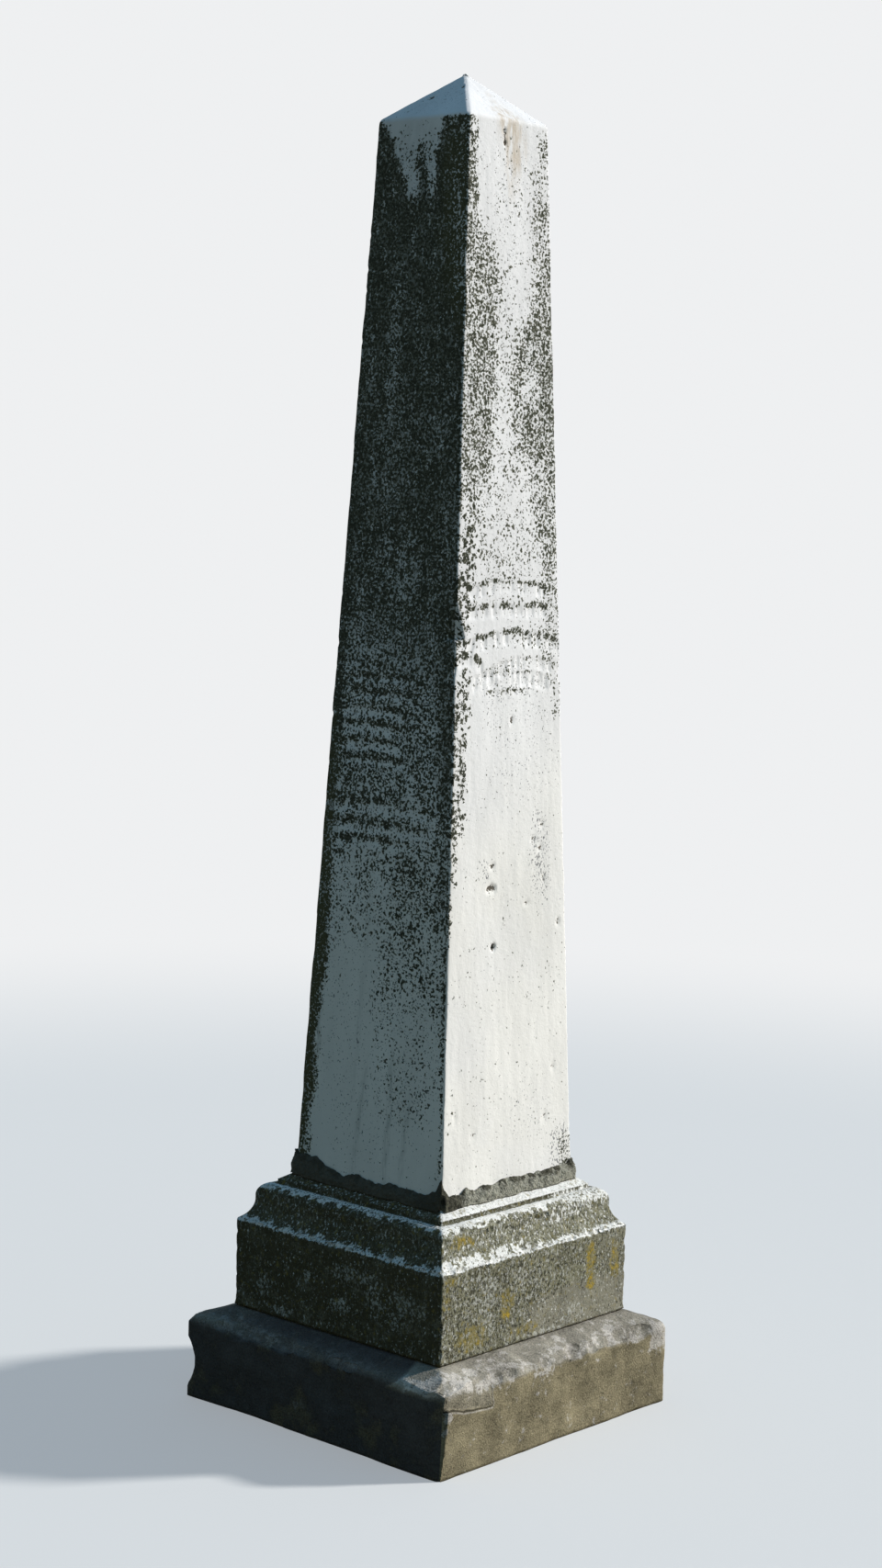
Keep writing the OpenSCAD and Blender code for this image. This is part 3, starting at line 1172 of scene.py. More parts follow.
    def _weather(self, skin: Skin) -> None:
        """Lays on dampness and painted shade on the shaded sides, with the die's cast shadow painted on the
        shaded slope, and the tan of the face under the worn edge.

        Args:
            skin: The surface.
        """
        ragged = skin.level + 22 * MM * (self.grain.rough(skin.start, 45 * MM, 4) - 0.5)
        under = smoothstep(self.height - 34 * MM, self.height - 42 * MM, ragged)
        under = under * (1 - 0.5 * smoothstep(0, -4, skin.layers["flake"]))
        rim = bell(skin.level - (self.height - self.fall + 2 * MM), 9 * MM)
        rim = rim * (0.10 + 0.46 * self.grain.rough(skin.start, (0.06, 0.06, 0.02), 3))
        near = smoothstep(0.18, 0.02, skin.from_edge(START))
        rim = rim + 0.26 * near * smoothstep(0.155, 0.170, skin.level)
        skin.layers["under"] = under
        # Painted shade, with dampness: the dark layer covers the shaded sides, less on the rim and the far
        # left end, and on the shaded slope it stops where the sun falls past the die, which paints the die's
        # cast shadow
        place, height, lean = self.sun_end
        past = skin.from_edge(END) - place + lean * (skin.level - height)
        lit = smoothstep(4 * MM, -8 * MM, past) * smoothstep(0.150, 0.165, skin.level)
        shaded = np.where(skin.on(FRONT), 1.0 - lit, np.where(skin.on(RIGHT), 0.0, 0.5))
        skin.layers["damp"] = shaded * (0.93 - rim + 0.02 * under)

    def build(self) -> bpy.types.Object:
        """Builds and dresses the slab."""
        skin = Skin(self._outline(), (170, 110, 110, 170), (0, 2.5, 5, 8, 12, 17, 23))
        self._wear(skin)
        self._weather(skin)
        skin.keep_inside(*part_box("footing_stone"))
        piece = skin.mesh("footing_slab")
        return settle(piece, "footing_stone", LimestoneFinish().build())


BARE_PATCHES = on_sides(Patch, {
    RIGHT: (
        (0.19, 0.448, 0.07, 0.014, 0.75), (0.13, 0.432, 0.06, 0.014, 0.3),
    ),
})
SMOOTH_PATCHES = on_sides(Patch, {
    RIGHT: (
        (0.14, 0.238, 0.19, 0.052, 1, MIDDLE, 0.25, 0.2, 0.6), (-0.24, 0.212, 0.1, 0.014, 0.55),
        (0.24, 0.33, 0.05, 0.05, 0.5),
    ),
})
# Where the pits lie; the base's finish darkens them with painted shade
PIT_PATCHES = on_sides(Patch, {
    RIGHT: (
        (-0.1, 0.32, 0.2, 0.055, 0.43), (-0.17, 0.25, 0.12, 0.05, 0.34), (0.06, 0.35, 0.1, 0.03, 0.28),
        (0, 0.438, 0.1, 0.014, 0.3), (0.14, 0.235, 0.17, 0.045, 0.03),
    ),
})
# Pale flecks on the base; over the pitted upper left of the sunlit die they also stand in for painted
# highlights beside the pits
PALE_PATCHES = on_sides(Patch, {
    RIGHT: (
        (-0.12, 0.29, 0.18, 0.075, 0.32), (0.15, 0.235, 0.17, 0.05, 0.1, MIDDLE, 0.8, 0.5, 0.6),
        (-0.15, 0.31, 0.03, 0.028, 0.62), (-0.15, 0.255, 0.022, 0.02, 0.62),
        (-0.06, 0.33, 0.014, 0.018, 0.55), (0.12, 0.225, 0.04, 0.014, 0.5),
        (0.03, 0.203, 0.05, 0.008, 0.55), (-0.1, 0.425, 0.08, 0.014, 0.35),
    ),
    FRONT: (
        (-0.08, 0.3, 0.01, 0.014, 0.75), (-0.2, 0.255, 0.02, 0.022, 0.45), (0.05, 0.33, 0.06, 0.014, 0.55),
        (0.11, 0.3, 0.022, 0.03, 0.48), (0.19, 0.298, 0.03, 0.026, 0.45),
        (0.015, 0.262, 0.024, 0.014, 0.65), (0.235, 0.294, 0.01, 0.012, 0.5),
        (-0.16, 0.212, 0.045, 0.008, 0.6), (0.16, 0.266, 0.04, 0.02, 0.35), (0, 0.43, 0.4, 0.03, 0.1),
    ),
})
GOLD_PATCHES = on_sides(Patch, {
    RIGHT: (
        (-0.197, 0.425, 0.028, 0.01, 0.65), (0.172, 0.326, 0.015, 0.03, 0.75),
        (0.175, 0.275, 0.012, 0.014, 0.85), (0.25, 0.31, 0.014, 0.036, 0.45),
        (-0.092, 0.272, 0.015, 0.016, 0.95), (-0.088, 0.292, 0.02, 0.02, 0.35),
        (-0.2, 0.236, 0.034, 0.018, 0.46, MIDDLE, 1.2), (-0.262, 0.36, 0.02, 0.01, 0.3),
        (-0.272, 0.32, 0.012, 0.012, 0.35), (-0.03, 0.222, 0.04, 0.01, 0.18),
    ),
})


@dataclass
class BaseStone:
    """The moulded base: die, hollow, band, round, top fillet and wash.

    Attributes:
        foot: Height of its underside.
        die_half: Half width of the die.
        die_h: Height of the die up to its worn edge.
        edge_r: Radius of the die's worn upper edge.
        cove_w: Width of the hollow.
        cove_h: Height of the hollow.
        band_h: Height of the band.
        ovolo_r: Radius of the round.
        ledge: Width of the ledge at the top fillet's foot.
        fillet_h: Height of the top fillet.
        wash_w: Width of the wash.
        wash_rise: Rise of the wash.
        grain: Noise of the stone.
    """

    foot: float
    die_half: float
    die_h: float = 182 * MM
    edge_r: float = 7 * MM
    cove_w: float = 26 * MM
    cove_h: float = 42 * MM
    band_h: float = 7 * MM
    ovolo_r: float = 28 * MM
    ledge: float = 4 * MM
    fillet_h: float = 7 * MM
    wash_w: float = 27 * MM
    wash_rise: float = 17 * MM
    grain: Grain = Grain(23)

    def __post_init__(self) -> None:
        """Works out the levels and half widths that follow from the sizes."""
        self.band_half = self.die_half - self.cove_w
        self.ovolo_half = self.band_half - self.ovolo_r
        self.fillet_half = self.ovolo_half - self.ledge
        self.seat_half = self.fillet_half - self.wash_w
        self.die_top = self.foot + self.die_h
        self.cove_top = self.die_top + self.cove_h
        self.ovolo_foot = self.cove_top + self.band_h
        self.fillet_foot = self.ovolo_foot + self.ovolo_r
        self.fillet_top = self.fillet_foot + self.fillet_h
        self.top = self.fillet_top + self.wash_rise
        self.cove_r = (self.cove_w**2 + self.cove_h**2) / (2 * self.cove_w)

    def _outline(self) -> Array:
        """The elevation, from the middle of the underside to the middle of the seat."""
        cove_x = self.band_half + self.cove_r
        edge_x = self.die_half - self.edge_r
        edge_z = self.cove_top - math.sqrt((self.cove_r + self.edge_r) ** 2 - (cove_x - edge_x) ** 2)
        touch = math.degrees(math.atan2(self.cove_top - edge_z, cove_x - edge_x))
        outline = Outline(0.25 * self.die_half, self.foot).line(self.die_half, self.foot, 60 * MM)
        outline.line(self.die_half, edge_z, 4.5 * MM)
        outline.arc((edge_x, edge_z), self.edge_r, (0, touch), 1.6 * MM)
        outline.arc((cove_x, self.cove_top), self.cove_r, (180 + touch, 180), 2.6 * MM)
        outline.line(self.band_half, self.ovolo_foot, 2.5 * MM)
        outline.arc((self.ovolo_half, self.ovolo_foot), self.ovolo_r, (0, 90), 2.6 * MM)
        outline.line(self.fillet_half, self.fillet_foot, 2 * MM)
        outline.line(self.fillet_half, self.fillet_top, 1.8 * MM)
        outline.line(self.seat_half, self.top, 3 * MM)
        return outline.line(0.2 * self.seat_half, self.top, 50 * MM).skipped()

    def _break_edges(self, skin: Skin) -> None:
        """Breaks small shells off the edges of the die, the band and the round.

        Args:
            skin: The surface.
        """
        runs = (
            (self.die_half - 2 * MM, self.die_top - 1 * MM, 46, 16 * MM, 4.5 * MM),
            (self.band_half, self.ovolo_foot, 26, 14 * MM, 3 * MM),
            (self.fillet_half, self.fillet_top, 26, 9 * MM, 2.5 * MM),
        )
        for run, (half, height, count, largest, depth) in enumerate(runs):
            for turn, edge in enumerate(level_edges(half, height, 0.6)):
                EdgeWear(count, (4 * MM, largest), depth, 300 + 10 * run + turn).take(skin, self.grain, edge)
        inset = self.die_half - 1 * MM
        for side, edge in zip(Side, upright_edges((inset, self.foot + 8 * MM), (inset, self.die_top))):
            count, largest = (26, 22 * MM) if side is RIGHT else (20, 14 * MM)
            EdgeWear(count, (4 * MM, largest), 5 * MM, 350 + side.value).take(skin, self.grain, edge)

    def _wear(self, skin: Skin) -> None:
        """Roughens the stone, rounds its mouldings and breaks its edges.

        Args:
            skin: The surface.
        """
        grain, places = self.grain, skin.start
        skin.wear_edges([3 * MM] * 4, 1.6 * MM)
        self._break_edges(skin)
        out = np.abs(places[..., :2]).max(axis=-1)
        seat = smoothstep(self.seat_half - 4 * MM, self.seat_half + 6 * MM, out)
        seat = seat * smoothstep(self.foot, self.foot + 8 * MM, skin.level)
        band = bell(skin.level - self.ovolo_foot, 12 * MM)
        ledge = bell(skin.level - self.die_top - 6 * MM, 9 * MM)
        drips = smoothstep(0.45, 0.65, grain.rough(places, (20 * MM, 20 * MM, 0.1), 3))
        depth = 3.5 * MM * band * smoothstep(0.45, 0.7, grain.rough(places, 45 * MM, 3))
        depth += 2.5 * MM * ledge * drips
        fine = grain.rough(places, (9 * MM, 9 * MM, 15 * MM), 3)
        depth += 2.4 * MM * grain.rough(places, 70 * MM, 3) + 1.2 * MM * fine
        skin.sink(depth * seat)

    def _washed(self, skin: Skin) -> Array:
        """Share of the surface that rain keeps white.

        Args:
            skin: The surface.

        Returns:
            The share at each point.
        """
        z, out = skin.level, skin.half[:, None]
        streaks = smoothstep(0.38, 0.62, self.grain.rough(skin.start, (12 * MM, 12 * MM, 0.2), 3))
        teeth = smoothstep(0.43, 0.52, self.grain.rough(skin.start, (10 * MM, 10 * MM, 0.2), 2))
        front = skin.on(FRONT)
        ends = np.where(front, 3 + 7 * streaks, 3 + np.where(skin.along < 0, 15, 5) * teeth)
        low = self.die_top + ends * MM
        ledge = smoothstep(self.die_top - 5 * MM, self.die_top - 2 * MM, z)
        ledge = ledge * smoothstep(low + 3 * MM, low - 3 * MM, z)
        crown_foot = self.fillet_foot - np.where(front, 3 + 8 * streaks, 4 + 11 * streaks**2) * MM
        crown = smoothstep(crown_foot - 1 * MM, crown_foot + 1 * MM, z)
        crown = crown * smoothstep(self.ovolo_half - 1.5 * MM, self.ovolo_half + 1 * MM, out)
        wash = smoothstep(self.fillet_top - 0.5 * MM, self.fillet_top + 0.5 * MM, z)
        wash = wash * np.where(front, 0.04, 0.98)
        face = np.where(front, 0.01, 0.05) * smoothstep(self.die_top, self.die_top + 8 * MM, z)
        face = face * (z < self.fillet_foot)
        covered = np.maximum.reduce([0.93 * ledge, 0.96 * crown, wash, face])
        return 0.004 + np.where(front, 0.85, np.where(skin.on(RIGHT), 1.0, 0.9)) * covered

    def _weather(self, skin: Skin) -> None:
        """Lays on the crust's layers, side by side, with painted shade in the pits and along the top fillet's
        face.

        Args:
            skin: The surface.
        """
        grain, right, front = self.grain, skin.on(RIGHT), skin.on(FRONT)
        die = smoothstep(self.die_top, self.die_top - 6 * MM, skin.level)
        skin.layers["bare"] = deviations(painted(skin, grain, self._washed(skin), BARE_PATCHES))
        moss = np.where(front, 1.0, np.where(right, 0.05, 0.55))
        moss = moss * (0.75 + 0.5 * grain.rough(skin.start, 0.12, 3))
        # Moss and painted shade in a dark band along the top fillet's face, under the wash's edge
        fillet_moss_and_shade = bell(skin.level - self.fillet_foot - 3.5 * MM, 4.2 * MM, 6)
        moss = np.maximum(moss, 0.9 * fillet_moss_and_shade * (skin.half[:, None] < self.ovolo_half))
        skin.layers["moss"] = np.clip(moss * np.where(front & (die < 0.5), 0.85, 1), 0, 0.97)
        skin.layers["smooth"] = painted(skin, grain, np.where(right, 0.15, 0.3), SMOOTH_PATCHES)
        skin.layers["pits"] = deviations(painted(skin, grain, np.where(right, 0.18, 0.16), PIT_PATCHES))
        skin.layers["pale"] = deviations(painted(skin, grain, np.where(right, 0.20, 0.05), PALE_PATCHES))
        skin.layers["gold"] = deviations(painted(skin, grain, 0.002, GOLD_PATCHES))

    def build(self) -> bpy.types.Object:
        """Builds and dresses the stone."""
        skin = Skin(self._outline(), (150, 100, 100, 150), (0, 2, 4, 6.5, 10, 14, 19, 25))
        self._wear(skin)
        self._weather(skin)
        skin.keep_inside(*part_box("base_stone"))
        return settle(skin.mesh("moulded_base"), "base_stone", BaseMarbleFinish().build())


@dataclass(frozen=True)
class WornRow:
    """A worn row of nicks across a side of the shaft, with lichen caught along its top.

    Attributes:
        side: The side that it is on.
        height: Height of the row's middle.
        start: Place where it starts, from the side's middle.
        end: Place where it ends.
        sag: How far its ends hang below its middle, in millimetres.
        lichen: Share that lichen covers along its top.
        thick: Half height of that lichen, in millimetres.
        scour: Height of the scoured stone below it, in millimetres.
        clean: Share that lichen covers on the scoured stone.
        depth: Depth of its nicks, in millimetres.
    """

    side: Side
    height: float
    start: float
    end: float
    sag: float
    lichen: float
    thick: float
    scour: float
    clean: float = 0.04
    depth: float = 2.2

    def _place(self, skin: Skin, grain: Grain) -> tuple[Array, Array]:
        """How far each point is over the row's line, and whether it is between its ends.

        Args:
            skin: The surface.
            grain: Noise that makes the line stray.

        Returns:
            The heights over the line, and numbers from 0 to 1.
        """
        middle, reach = (self.start + self.end) / 2, (self.end - self.start) / 2
        share = (skin.along - middle) / reach
        stray = 9 * MM * (grain.rough(skin.start, (26 * MM, 26 * MM, 80 * MM), 2) - 0.5)
        line = self.height - self.sag * MM * share**2 + stray
        return skin.level - line, np.where(skin.on(self.side), smoothstep(1.12, 0.90, np.abs(share)), 0)

    def laid(self, cover: Array, skin: Skin, grain: Grain) -> Array:
        """Lays the row's growth and its scoured stone over the lichen's cover.

        Args:
            cover: The cover so far.
            skin: The surface.
            grain: Noise of the stone.

        Returns:
            The new cover.
        """
        over, between = self._place(skin, grain)
        strokes = grain.rough(skin.start, (12 * MM, 12 * MM, 50 * MM), 2)
        reach = self.scour * MM * (0.55 + 0.9 * strokes)
        band = smoothstep(-reach - 5 * MM, -reach + 3 * MM, over) * smoothstep(1 * MM, -5 * MM, over)
        cover = cover + (self.clean - cover) * 0.85 * between * band
        dashes = smoothstep(0.34, 0.54, grain.rough(skin.start, (8 * MM, 8 * MM, 60 * MM), 2))
        line = bell(over - 1 * MM, self.thick * MM * (0.7 + 0.8 * strokes), 4) * dashes
        return cover + (self.lichen - cover) * between * line

    def nicks(self, skin: Skin, grain: Grain) -> Array:
        """Depth of the nicks below the row's line.

        Args:
            skin: The surface.
            grain: Noise of the stone.

        Returns:
            The depth at each point.
        """
        over, between = self._place(skin, grain)
        scour = self.scour * MM
        strokes = smoothstep(0.47, 0.60, grain.rough(skin.start, (9 * MM, 9 * MM, 50 * MM), 2))
        band = smoothstep(-scour, -0.7 * scour, over) * smoothstep(4 * MM, -2 * MM, over)
        return self.depth * MM * between * band * (0.3 + 0.7 * strokes)


WORN_ROWS = on_sides(WornRow, {
    RIGHT: (
        (1.716, -0.122, 0.112, 14, 0.86, 5, 26), (1.668, -0.122, 0.116, 4, 0.9, 5.5, 26),
        (1.615, -0.145, 0.155, 24, 0.84, 5.5, 30, 0.08, 2.8), (1.57, -0.168, -0.08, 20, 0.9, 8, 24),
        (1.562, -0.08, 0.168, 26, 0.26, 5, 24), (1.536, -0.11, 0.12, 10, 0.18, 5, 34, 0.03, 2.4),
        (1.499, -0.08, 0.065, 0, 0.35, 4, 10, 0.03, 1.2),
    ),
    FRONT: (
        (1.518, -0.125, 0.06, 2, 0.88, 6, 12, 0.34, 1.5), (1.486, -0.105, 0.05, 2, 0.88, 6, 16, 0.24, 1.5),
        (1.453, -0.13, 0.035, 3, 0.93, 5, 20, 0.16, 1.5), (1.421, -0.13, 0.03, 3, 0.93, 5, 20, 0.14, 1.5),
        (1.387, -0.135, 0.03, 3, 0.93, 5, 20, 0.14, 1.5), (1.352, -0.13, 0.04, 2, 0.85, 6, 14, 0.2, 1.5),
        (1.263, -0.15, 0.11, 2, 0.88, 6, 24, 0.1, 1.5), (1.221, -0.15, 0.11, 2, 0.93, 7, 20, 0.1, 1.5),
        (1.188, -0.125, 0.08, 2, 0.85, 6, 14, 0.12, 1.5),
    ),
})
# Hollows broken out of the shaft; the last number darkens each with dirt and painted shade
SHAFT_BITES = on_sides(Bite, {
    RIGHT: (
        (-0.051, 1.101, 16, 11, 7, 1, 0.75), (-0.047, 0.985, 7, 9, 9, 0, 0.75),
        (-0.05, 1.146, 8, 8, 3, 0.5, 0.6), (0.077, 1.191, 10, 9, 2.5, 0.5, 0.52),
        (0.099, 1.172, 10, 12, 2.5, 0.5, 0.5), (0.11, 1.11, 8, 14, 2.5, 0.3, 0.45),
        (0.104, 1.222, 8, 8, 3, 0.5, 0.55), (0.056, 1.064, 12, 6, 2.5, 0.5, 0.5),
        (0.156, 1.017, 8, 10, 3, 0.5, 0.52), (0.141, 0.716, 9, 8, 2.5, 0.8, 0.42),
        (0.113, 0.616, 11, 9, 2.5, 0.8, 0.42), (-0.109, 0.61, 10, 9, 2, 0.8, 0.4),
        (-0.161, 0.653, 7, 8, 2.5, 0.5, 0.4), (-0.015, 2.598, 6, 7, 4, 0, 0.7),
        (-0.013, 2.575, 6, 8, 3.5, 0, 0.68), (0.03, 2.439, 6, 6, 2, 0, 0.6),
        (0.009, 1.436, 8, 9, 2.5, 0.5, 0.66),
    ),
    FRONT: (
        (-0.03, 2.668, 9, 6, 3, 0, 0.6), (0.03, 2.688, 7, 5, 2, 0, 0.55),
    ),
    BACK: (
        (0.03, 1.25, 14, 12, 3, 0.8, 0.65), (-0.08, 0.84, 12, 10, 2.5, 0.5, 0.55),
    ),
    LEFT: (
        (-0.05, 1.02, 12, 13, 3, 0.8, 0.65), (0.09, 1.62, 12, 10, 2.5, 0.5, 0.55),
    ),
})

# Share that lichen covers on the shaft, patch over patch
LICHEN_PATCHES = on_sides(Patch, {
    RIGHT: (
        (0, 2.04, 0.3, 0.33, 0.2, MIDDLE, 0.5), (0, 2.4, 0.052, 0.13, 0.4, END),
        (0, 2.14, 0.11, 0.23, 0.6, END, 0.5), (0, 1.84, 0.075, 0.16, 0.42, END, 0.5),
        (0, 2.53, 0.03, 0.09, 0.52, START, 0.5), (0, 2.42, 0.034, 0.1, 0.6, START, 0.5),
        (0, 2.13, 0.118, 0.23, 0.5, START, 0.4), (0, 1.8, 0.06, 0.13, 0.36, START, 0.4),
        (0.02, 2.37, 0.055, 0.15, 0.03), (-0.016, 2.14, 0.02, 0.15, 0.12), (-0.02, 2, 0.03, 0.1, 0.08),
        (-0.01, 1.89, 0.065, 0.09, 0.1), (0, 1.77, 0.1, 0.06, 0.09), (0.066, 2.1, 0.026, 0.03, 0.22),
        (0, 1.62, 0.048, 0.17, 0.35, START), (0, 1.63, 0.055, 0.11, 0.3, END),
        (0, 1.5, 0.035, 0.06, 0.15, END), (0, 1.39, 0.044, 0.14, 0.46, START),
        (0, 1.2, 0.023, 0.1, 0.42, START), (0, 1.09, 0.012, 0.08, 0.3, START),
        (0.012, 2.575, 0.024, 0.03, 0.48, END), (0.012, 0.53, 0.03, 0.045, 0.36, END),
    ),
    FRONT: (
        (0, 2.2, 0.4, 0.64, 0.84, MIDDLE, 0.3), (0, 1.64, 0.4, 0.11, 0.78), (0, 1.44, 0.4, 0.2, 0.61),
        (0, 1.22, 0.4, 0.1, 0.52), (-0.07, 1.08, 0.12, 0.1, 0.2), (0.06, 1.06, 0.11, 0.13, 0.46, END),
        (0.09, 0.92, 0.095, 0.11, 0.3, END), (0.1, 0.76, 0.08, 0.11, 0.1, END),
        (0, 2.3, 0.058, 0.4, 0.87, END, 0.9), (0, 2.44, 0.04, 0.17, 0.82, END),
        (0, 1.6, 0.034, 0.4, 0.8, END), (0, 0.95, 0.012, 0.4, 0.55, END), (0, 1.6, 0.03, 0.35, 0.92, START),
        (0, 0.91, 0.04, 0.43, 0.86, START, 0.5, 0.5), (-0.045, 2.13, 0.02, 0.13, 0.66),
        (-0.105, 2.13, 0.015, 0.06, 0.7), (0.075, 2, 0.04, 0.05, 0.7), (-0.05, 1.93, 0.05, 0.09, 0.7),
        (0.025, 1.74, 0.03, 0.07, 0.66), (-0.016, 2.612, 0.08, 0.03, 0.004, MIDDLE, 0.35, 0.45),
        (-0.014, 2.575, 0.06, 0.032, 0.006, MIDDLE, 0.4, 0.6),
        (-0.026, 2.52, 0.022, 0.052, 0.06, MIDDLE, 0.7, 0.7, -0.25),
        (0.028, 2.53, 0.013, 0.052, 0.1, MIDDLE, 0.7, 0.7, -0.1),
        (0.004, 2.545, 0.012, 0.034, 0.6, MIDDLE, 0.8, 0.8),
    ),
    BACK: (
        (0, 2.08, 0.3, 0.37, 0.2), (0, 2.15, 0.09, 0.42, 0.54, START), (0, 2.05, 0.1, 0.38, 0.52, END),
        (0, 1.5, 0.05, 0.33, 0.4, END), (0, 1.4, 0.036, 0.33, 0.32, START), (0.01, 2.25, 0.03, 0.24, 0.05),
    ),
    LEFT: (
        (0, 2.2, 0.4, 0.64, 0.84, MIDDLE, 0.3), (0, 1.52, 0.4, 0.18, 0.7), (0, 1.26, 0.4, 0.13, 0.46),
        (0.06, 1, 0.11, 0.15, 0.36, START), (0, 0.91, 0.044, 0.43, 0.9, END, 0.6, 0.35),
        (-0.03, 2, 0.03, 0.18, 0.62), (0.01, 2.605, 0.074, 0.04, 0.03, MIDDLE, 0.5, 0.6),
    ),
})
MOSS_PATCHES = on_sides(Patch, {
    FRONT: (
        (0, 0.95, 0.04, 0.46, 0.75, START), (0.01, 2.42, 0.06, 0.2, 0.55, END),
    ),
    LEFT: (
        (0, 0.95, 0.04, 0.46, 0.75, END),
    ),
})
CRACK_PATCHES = on_sides(Patch, {
    RIGHT: (
        (-0.064, 2.525, 0.003, 0.01, 0.4, MIDDLE, 0.8, 0.5, 1.5),
        (-0.036, 2.545, 0.003, 0.008, 0.1, MIDDLE, 0.8, 0.5, 1.5), (-0.014, 2.588, 0.003, 0.012, 0.3),
    ),
})
STAIN_PATCHES = on_sides(Patch, {
    RIGHT: (
        (0.006, 2.59, 0.04, 0.055, 0.4), (0.013, 2.57, 0.018, 0.08, 0.62, MIDDLE, 1.2),
        (-0.016, 2.605, 0.012, 0.034, 0.6),
    ),
})
DRIP_PATCHES = on_sides(Patch, {
    FRONT: (
        (-0.03, 0.62, 0.006, 0.1, 0.5, MIDDLE, 0.8, 0.5, 0.1),
        (0.05, 0.64, 0.007, 0.13, 0.55, MIDDLE, 0.8, 0.5, 0.02),
        (0.097, 0.6, 0.006, 0.08, 0.45, MIDDLE, 0.8, 0.5, 0.08),
        (-0.04, 0.9, 0.007, 0.2, 0.25, MIDDLE, 0.8, 0.5, 0.05),
    ),
})
FILM_PATCHES = on_sides(Patch, {
    BACK: (
        (0, 1.3, 0.4, 1.2, 0.25, MIDDLE, 0.1),
    ),
    FRONT: (
        (0, 1.69, 0.4, 0.15, 0.5), (0, 1.9, 0.4, 0.13, 0.78), (0, 2.33, 0.4, 0.38, 0.97),
        (0, 1.6, 0.045, 0.4, 0.7, END), (0, 0.95, 0.036, 0.46, 0.6, START, 0.5),
        (0, 2.44, 0.04, 0.17, 0.15, END), (-0.016, 2.615, 0.086, 0.036, 0, MIDDLE, 0.5),
        (-0.012, 2.57, 0.064, 0.04, 0.08, MIDDLE, 0.5),
        (-0.024, 2.52, 0.024, 0.06, 0.15, MIDDLE, 0.8, 0.5, -0.25),
        (0.028, 2.525, 0.017, 0.06, 0.15, MIDDLE, 0.8, 0.5, -0.1), (-0.045, 2.13, 0.018, 0.13, 0.6),
        (-0.105, 2.133, 0.012, 0.06, 0.7), (0.075, 2.005, 0.03, 0.04, 0.65),
        (-0.05, 1.94, 0.04, 0.07, 0.65), (0.025, 1.74, 0.022, 0.06, 0.4),
    ),
    LEFT: (
        (0, 1.75, 0.4, 0.2, 0.45), (0, 2.3, 0.4, 0.4, 0.85), (0.01, 2.605, 0.074, 0.04, 0),
    ),
})
SPECK_PATCHES = on_sides(Patch, {
    RIGHT: (
        (0.1, 1.16, 0.026, 0.08, 0.15), (-0.075, 1.14, 0.02, 0.02, 0.14), (0.02, 1.49, 0.09, 0.05, 0.05),
        (0.06, 0.64, 0.06, 0.05, 0.02), (0.05, 1.38, 0.1, 0.1, 0.02), (0, 2.4, 0.08, 0.15, 0.02),
        (0.162, 0.55, 0.028, 0.04, 0.22),
    ),
    FRONT: (
        (0, 0.8, 0.17, 0.25, 0.03), (0, 2.67, 0.08, 0.03, 0.02),
    ),
})


